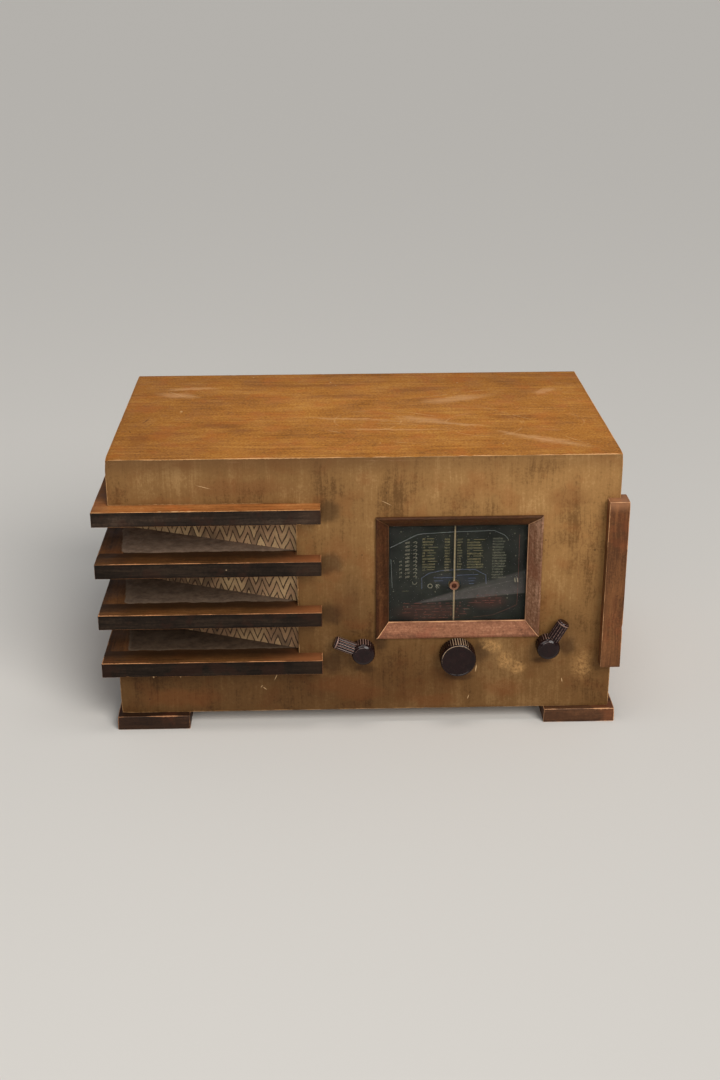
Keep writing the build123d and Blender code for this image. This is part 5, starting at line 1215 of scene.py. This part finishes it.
def knob_mesh(name, kx, kz, R, count, body, node, arm=None, shade=bak, rub=0.2):
    fl = flutes(count, 0.95, 0.28)
    if R > 15:
        prof = [(-17.10, 0, 0), (-17.08, R * 0.25, 0), (-17.02, R * 0.5, 0), (-16.92, R - 4.0, 0), (-16.92, R - 3.0, 0), (-17.05, R - 2.5, 0), (-17.3, R - 2.15, 0),
                (-17.4, R - 1.85, 0), (-17.36, R - 1.5, 0), (-17.1, R - 1.1, 0), (-16.85, R - 0.8, 0), (-16.75, R - 0.7, 0.3), (-16.5, R - 0.5, 0.75), (-16.1, R - 0.28, 1),
                (-15.4, R - 0.08, 1), (-14.6, R, 1), (-13.4, R, 1), (-9, R, 1), (-6.5, R, 1), (-4, R, 1), (-2.6, R, 1),
                (-2.0, R - 0.15, 1), (-1.65, R - 0.6, 0.8), (-1.6, R - 1.2, 0.4), (-1.6, 3.3, 0), (-12.9, 3.25, 0), (-13.0, 0, 0)]
        # each row listed in sharp gets a painted highlight ring; the next two numbers aim the painted highlights on
        # the ring towards the top left and on the ridges towards the top
        sharp, ring_highlight_lean, top_highlight = {7: 0.05, 8: 0.10}, 1.1, 1.05
    else:
        prof = [(-17.4, 0, 0), (-17.4, 2.0, 0), (-17.38, 4.0, 0), (-17.25, 5.8, 0), (-17.05, R - 3.7, 0), (-16.85, R - 3.2, 0), (-16.3, R - 2.3, 0), (-15.85, R - 1.5, 0),
                (-15.75, R - 1.25, 0), (-15.45, R - 1.3, 0), (-15.3, R - 1.15, 0), (-14.7, R - 0.55, 0), (-14.5, R - 0.4, 0.3), (-14.2, R - 0.2, 0.8), (-13.8, R, 1), (-12.9, R, 1), (-9, R, 1), (-6.5, R, 1), (-4, R, 1), (-2.6, R, 1), (-2.0, R - 0.15, 1), (-1.65, R - 0.6, 0.8), (-1.6, R - 1.2, 0.4),
                (-1.6, 3.3, 0), (-12.9, 3.25, 0), (-13.0, 0, 0)]
        sharp, ring_highlight_lean, top_highlight = {5: 0.22, 8: 0.12, 9: 0.3}, 0.9, 0.75
    n = count * 8
    v, f = tube_of(prof, n, (kx, 0, kz), (0, 1, 0), (1, 0, 0), (0, 0, 1), fl)
    edge = []
    for i, (t, r, w) in enumerate(prof):
        # the ridges are rubbed pale, with a painted highlight on the ridges at the top and on the rim's ring at the
        # top left
        th = [2 * math.pi * q / n for q in range(n)]
        if w > 0.5:
            edge += [min(2.0, (0.5 - top_highlight) * 0.35 + 1.8 * fl(q, r) + top_highlight * (1 - math.exp(-((math.degrees(q) - 86.0) / 34.0) ** 2))) for q in th]
        elif r < 1e-6:
            edge.append(2.0)
        else:
            edge += [min(2.0, sharp.get(i, 2.0) + ring_highlight_lean * (0.5 - 0.5 * math.cos(q - math.radians(112)))) for q in th]
    if arm is not None:
        a = math.radians(arm)
        reach = (math.cos(a), 0.0, math.sin(a))
        side = (-math.sin(a), 0.0, math.cos(a))
        A = 6.1
        ap = [(3.4, 0, 0), (3.4, A, 1), (8, A, 1), (12, A, 1), (16, A, 1), (20, A, 1), (24, A, 1), (26.6, A, 1), (27.1, A, 0.7), (27.4, A, 0.2), (27.6, A + 0.02, 0), (28.6, A + 0.02, 0),
              (29.0, A - 0.10, 0), (29.5, A - 0.42, 0), (30.1, A - 0.95, 0), (30.45, A - 1.5, 0), (30.5, A - 2.2, 0), (30.42, A - 3.0, 0), (30.4, 0, 0)]
        fa = flutes(14, 1.15, 0.45)
        v2, f2 = tube_of(ap, 144 - 4, (kx, -9.6, kz), reach, (0, 1, 0), side, fa)
        o = len(v)
        v += v2
        f += [[o + i for i in q] for q in f2]
        ash = {10: 0.3, 11: 0.0, 14: 0.1}
        # the arm's ridges are pale partly as rubbed wear and partly as a painted highlight; a smaller rub makes them
        # paler
        for i, (t, r, w) in enumerate(ap):
            if w > 0.5:
                edge += [min(2.0, rub + 2.6 * fa(2 * math.pi * q / 140, r)) for q in range(140)]
            else:
                edge += [ash.get(i, 2.0)] * (1 if r < 1e-6 else 140)
    ob = add(name, v, f, [shade], body, [node], attrs={"edge": edge}, angle=50)
    turn_out(ob)
    return ob


knob_mesh("tuning_knob_moulding", 89.0, 75.0, 17.5, 44, "tuning_control", "tuning_knob")
# the two levers' rub values set how pale their ridges are: wear with a painted highlight
knob_mesh("volume_lever_moulding", -2.6, 82.0, 11.3, 28, "volume_lever", "volume_knob", arm=156.9, shade=bak_lever, rub=0.18)
knob_mesh("waveband_lever_moulding", 176.1, 84.8, 11.3, 28, "waveband_lever", "waveband_knob", arm=60.7, shade=bak_lever, rub=0.36)

# ---------------------------------------------------------------- finishes of the CAD nodes left showing
def pointer_material():
    m = Mat("pointer_cream", spec=0.3)
    a = m.noise(m.mm, 0.6, 4.0, 0.7)
    col = m.ramp(a, [(0.3, lin(88, 75, 52)), (0.7, lin(126, 111, 82))])
    d = m.vmath("LENGTH", m.vmath("MULTIPLY", m.vmath("SUBTRACT", m.mm, (86.2, 0, 141.0)), (1, 0, 1)))
    off = m.math("ABSOLUTE", m.math("SUBTRACT", m.x, 86.2))
    col = m.mix(m.smooth(off, 0.45, 0.75, 0.0, 0.85), col, lin(44, 42, 34))
    eye = m.smooth(d, 5.0, 4.6)
    col = m.mix(eye, col, m.ramp(a, [(0.3, lin(76, 46, 30)), (0.7, lin(108, 72, 50))]))
    return m.finish(col, m.smooth(a, 0.3, 0.7, 0.4, 0.6), a, 0.02)


steel = metal("plated_steel", (0.55, 0.54, 0.50, 1.0), 51, rough=(0.30, 0.5), rust=0.35)
alu = metal("aluminium", (0.72, 0.72, 0.70, 1.0), 52, rough=(0.32, 0.5))
brass = metal("brass", (0.62, 0.45, 0.20, 1.0), 53, rough=(0.3, 0.5), rust=0.2)
enamel = moulded("dark_enamel", lin(26, 27, 28), lin(44, 45, 45), 54, rough=(0.35, 0.5), dust=0.25)
cone = fibrous("cone_paper", lin(40, 32, 27), lin(62, 50, 42), 55)
board_m = fibrous("fibreboard", lin(82, 58, 38), lin(124, 92, 62), 56, scale=0.8)
black = moulded("black_moulding", lin(14, 12, 11), lin(34, 29, 25), 57, rough=(0.22, 0.4), dust=0.25)
rubber = moulded("gland_rubber", lin(18, 18, 18), lin(36, 35, 34), 58, rough=(0.7, 0.85), dust=0.3)
cream = pointer_material()
hubm = moulded("hub_brown", lin(34, 16, 10), lin(56, 28, 17), 60, rough=(0.55, 0.7), dust=0.02, ior=1.15)
wind = fibrous("winding_paper", lin(92, 66, 34), lin(150, 116, 66), 61, rough=0.7)
lamin = metal("laminations", (0.20, 0.19, 0.18, 1.0), 62, rough=(0.45, 0.65), rust=0.3)
paxolin = moulded("paxolin", lin(96, 56, 26), lin(140, 86, 42), 63, rough=(0.3, 0.5), dust=0.15)
dialglass = glass("dial_glass", seed=3.0)
bulb = glass("valve_glass", rough=0.013, ior=1.45, seed=9.0, tint=(0.86, 0.88, 0.88, 1.0))

FINISH = {
    "bottom_panel": ply, "back_cover": board_m, "back_cover_screws": steel, "corner_shelf_1": shelf_paint, "corner_shelf_2": shelf_paint,
    "corner_shelf_3": shelf_paint, "corner_shelf_4": shelf_paint, "speaker_baffle": ply, "speaker_basket": enamel, "speaker_cone": cone,
    "speaker_dust_cap": cone, "speaker_magnet": enamel, "speaker_bolts": steel, "dial_glass": dialglass, "dial_plate": plate_material(),
    "dial_pointer": cream, "pointer_hub": hubm, "dial_lamps": brass, "drive_disc": brass, "tuning_spindle": steel, "gang_frame": steel,
    "gang_stators": alu, "gang_rotor": alu, "chassis": steel, "chassis_bolts": steel, "volume_control": enamel, "volume_spindle": steel,
    "waveband_switch": paxolin, "waveband_spindle": steel, "valve_bases": black, "valve_bulbs": bulb, "if_cans": alu, "mains_transformer": lamin,
    "output_transformer": lamin, "smoothing_capacitor": alu, "terminal_strip": paxolin, "mains_gland": rubber,
}
for node, mat in FINISH.items():
    ob = NODES[node]
    ob.data.materials.clear()
    ob.data.materials.append(mat)

# ---------------------------------------------------------------- floor
def floor():
    m = Mat("studio_floor", spec=0.15, rough=0.8)
    m.p.inputs["Base Color"].default_value = lin(208, 205, 200)
    me = bpy.data.meshes.new("floor")
    s = 60.0
    me.from_pydata([(-s, -s, 0), (s, -s, 0), (s, s, 0), (-s, s, 0)], [], [[0, 1, 2, 3]])
    me.materials.append(m.m)
    ob = bpy.data.objects.new("floor", me)
    scene.collection.objects.link(ob)


floor()
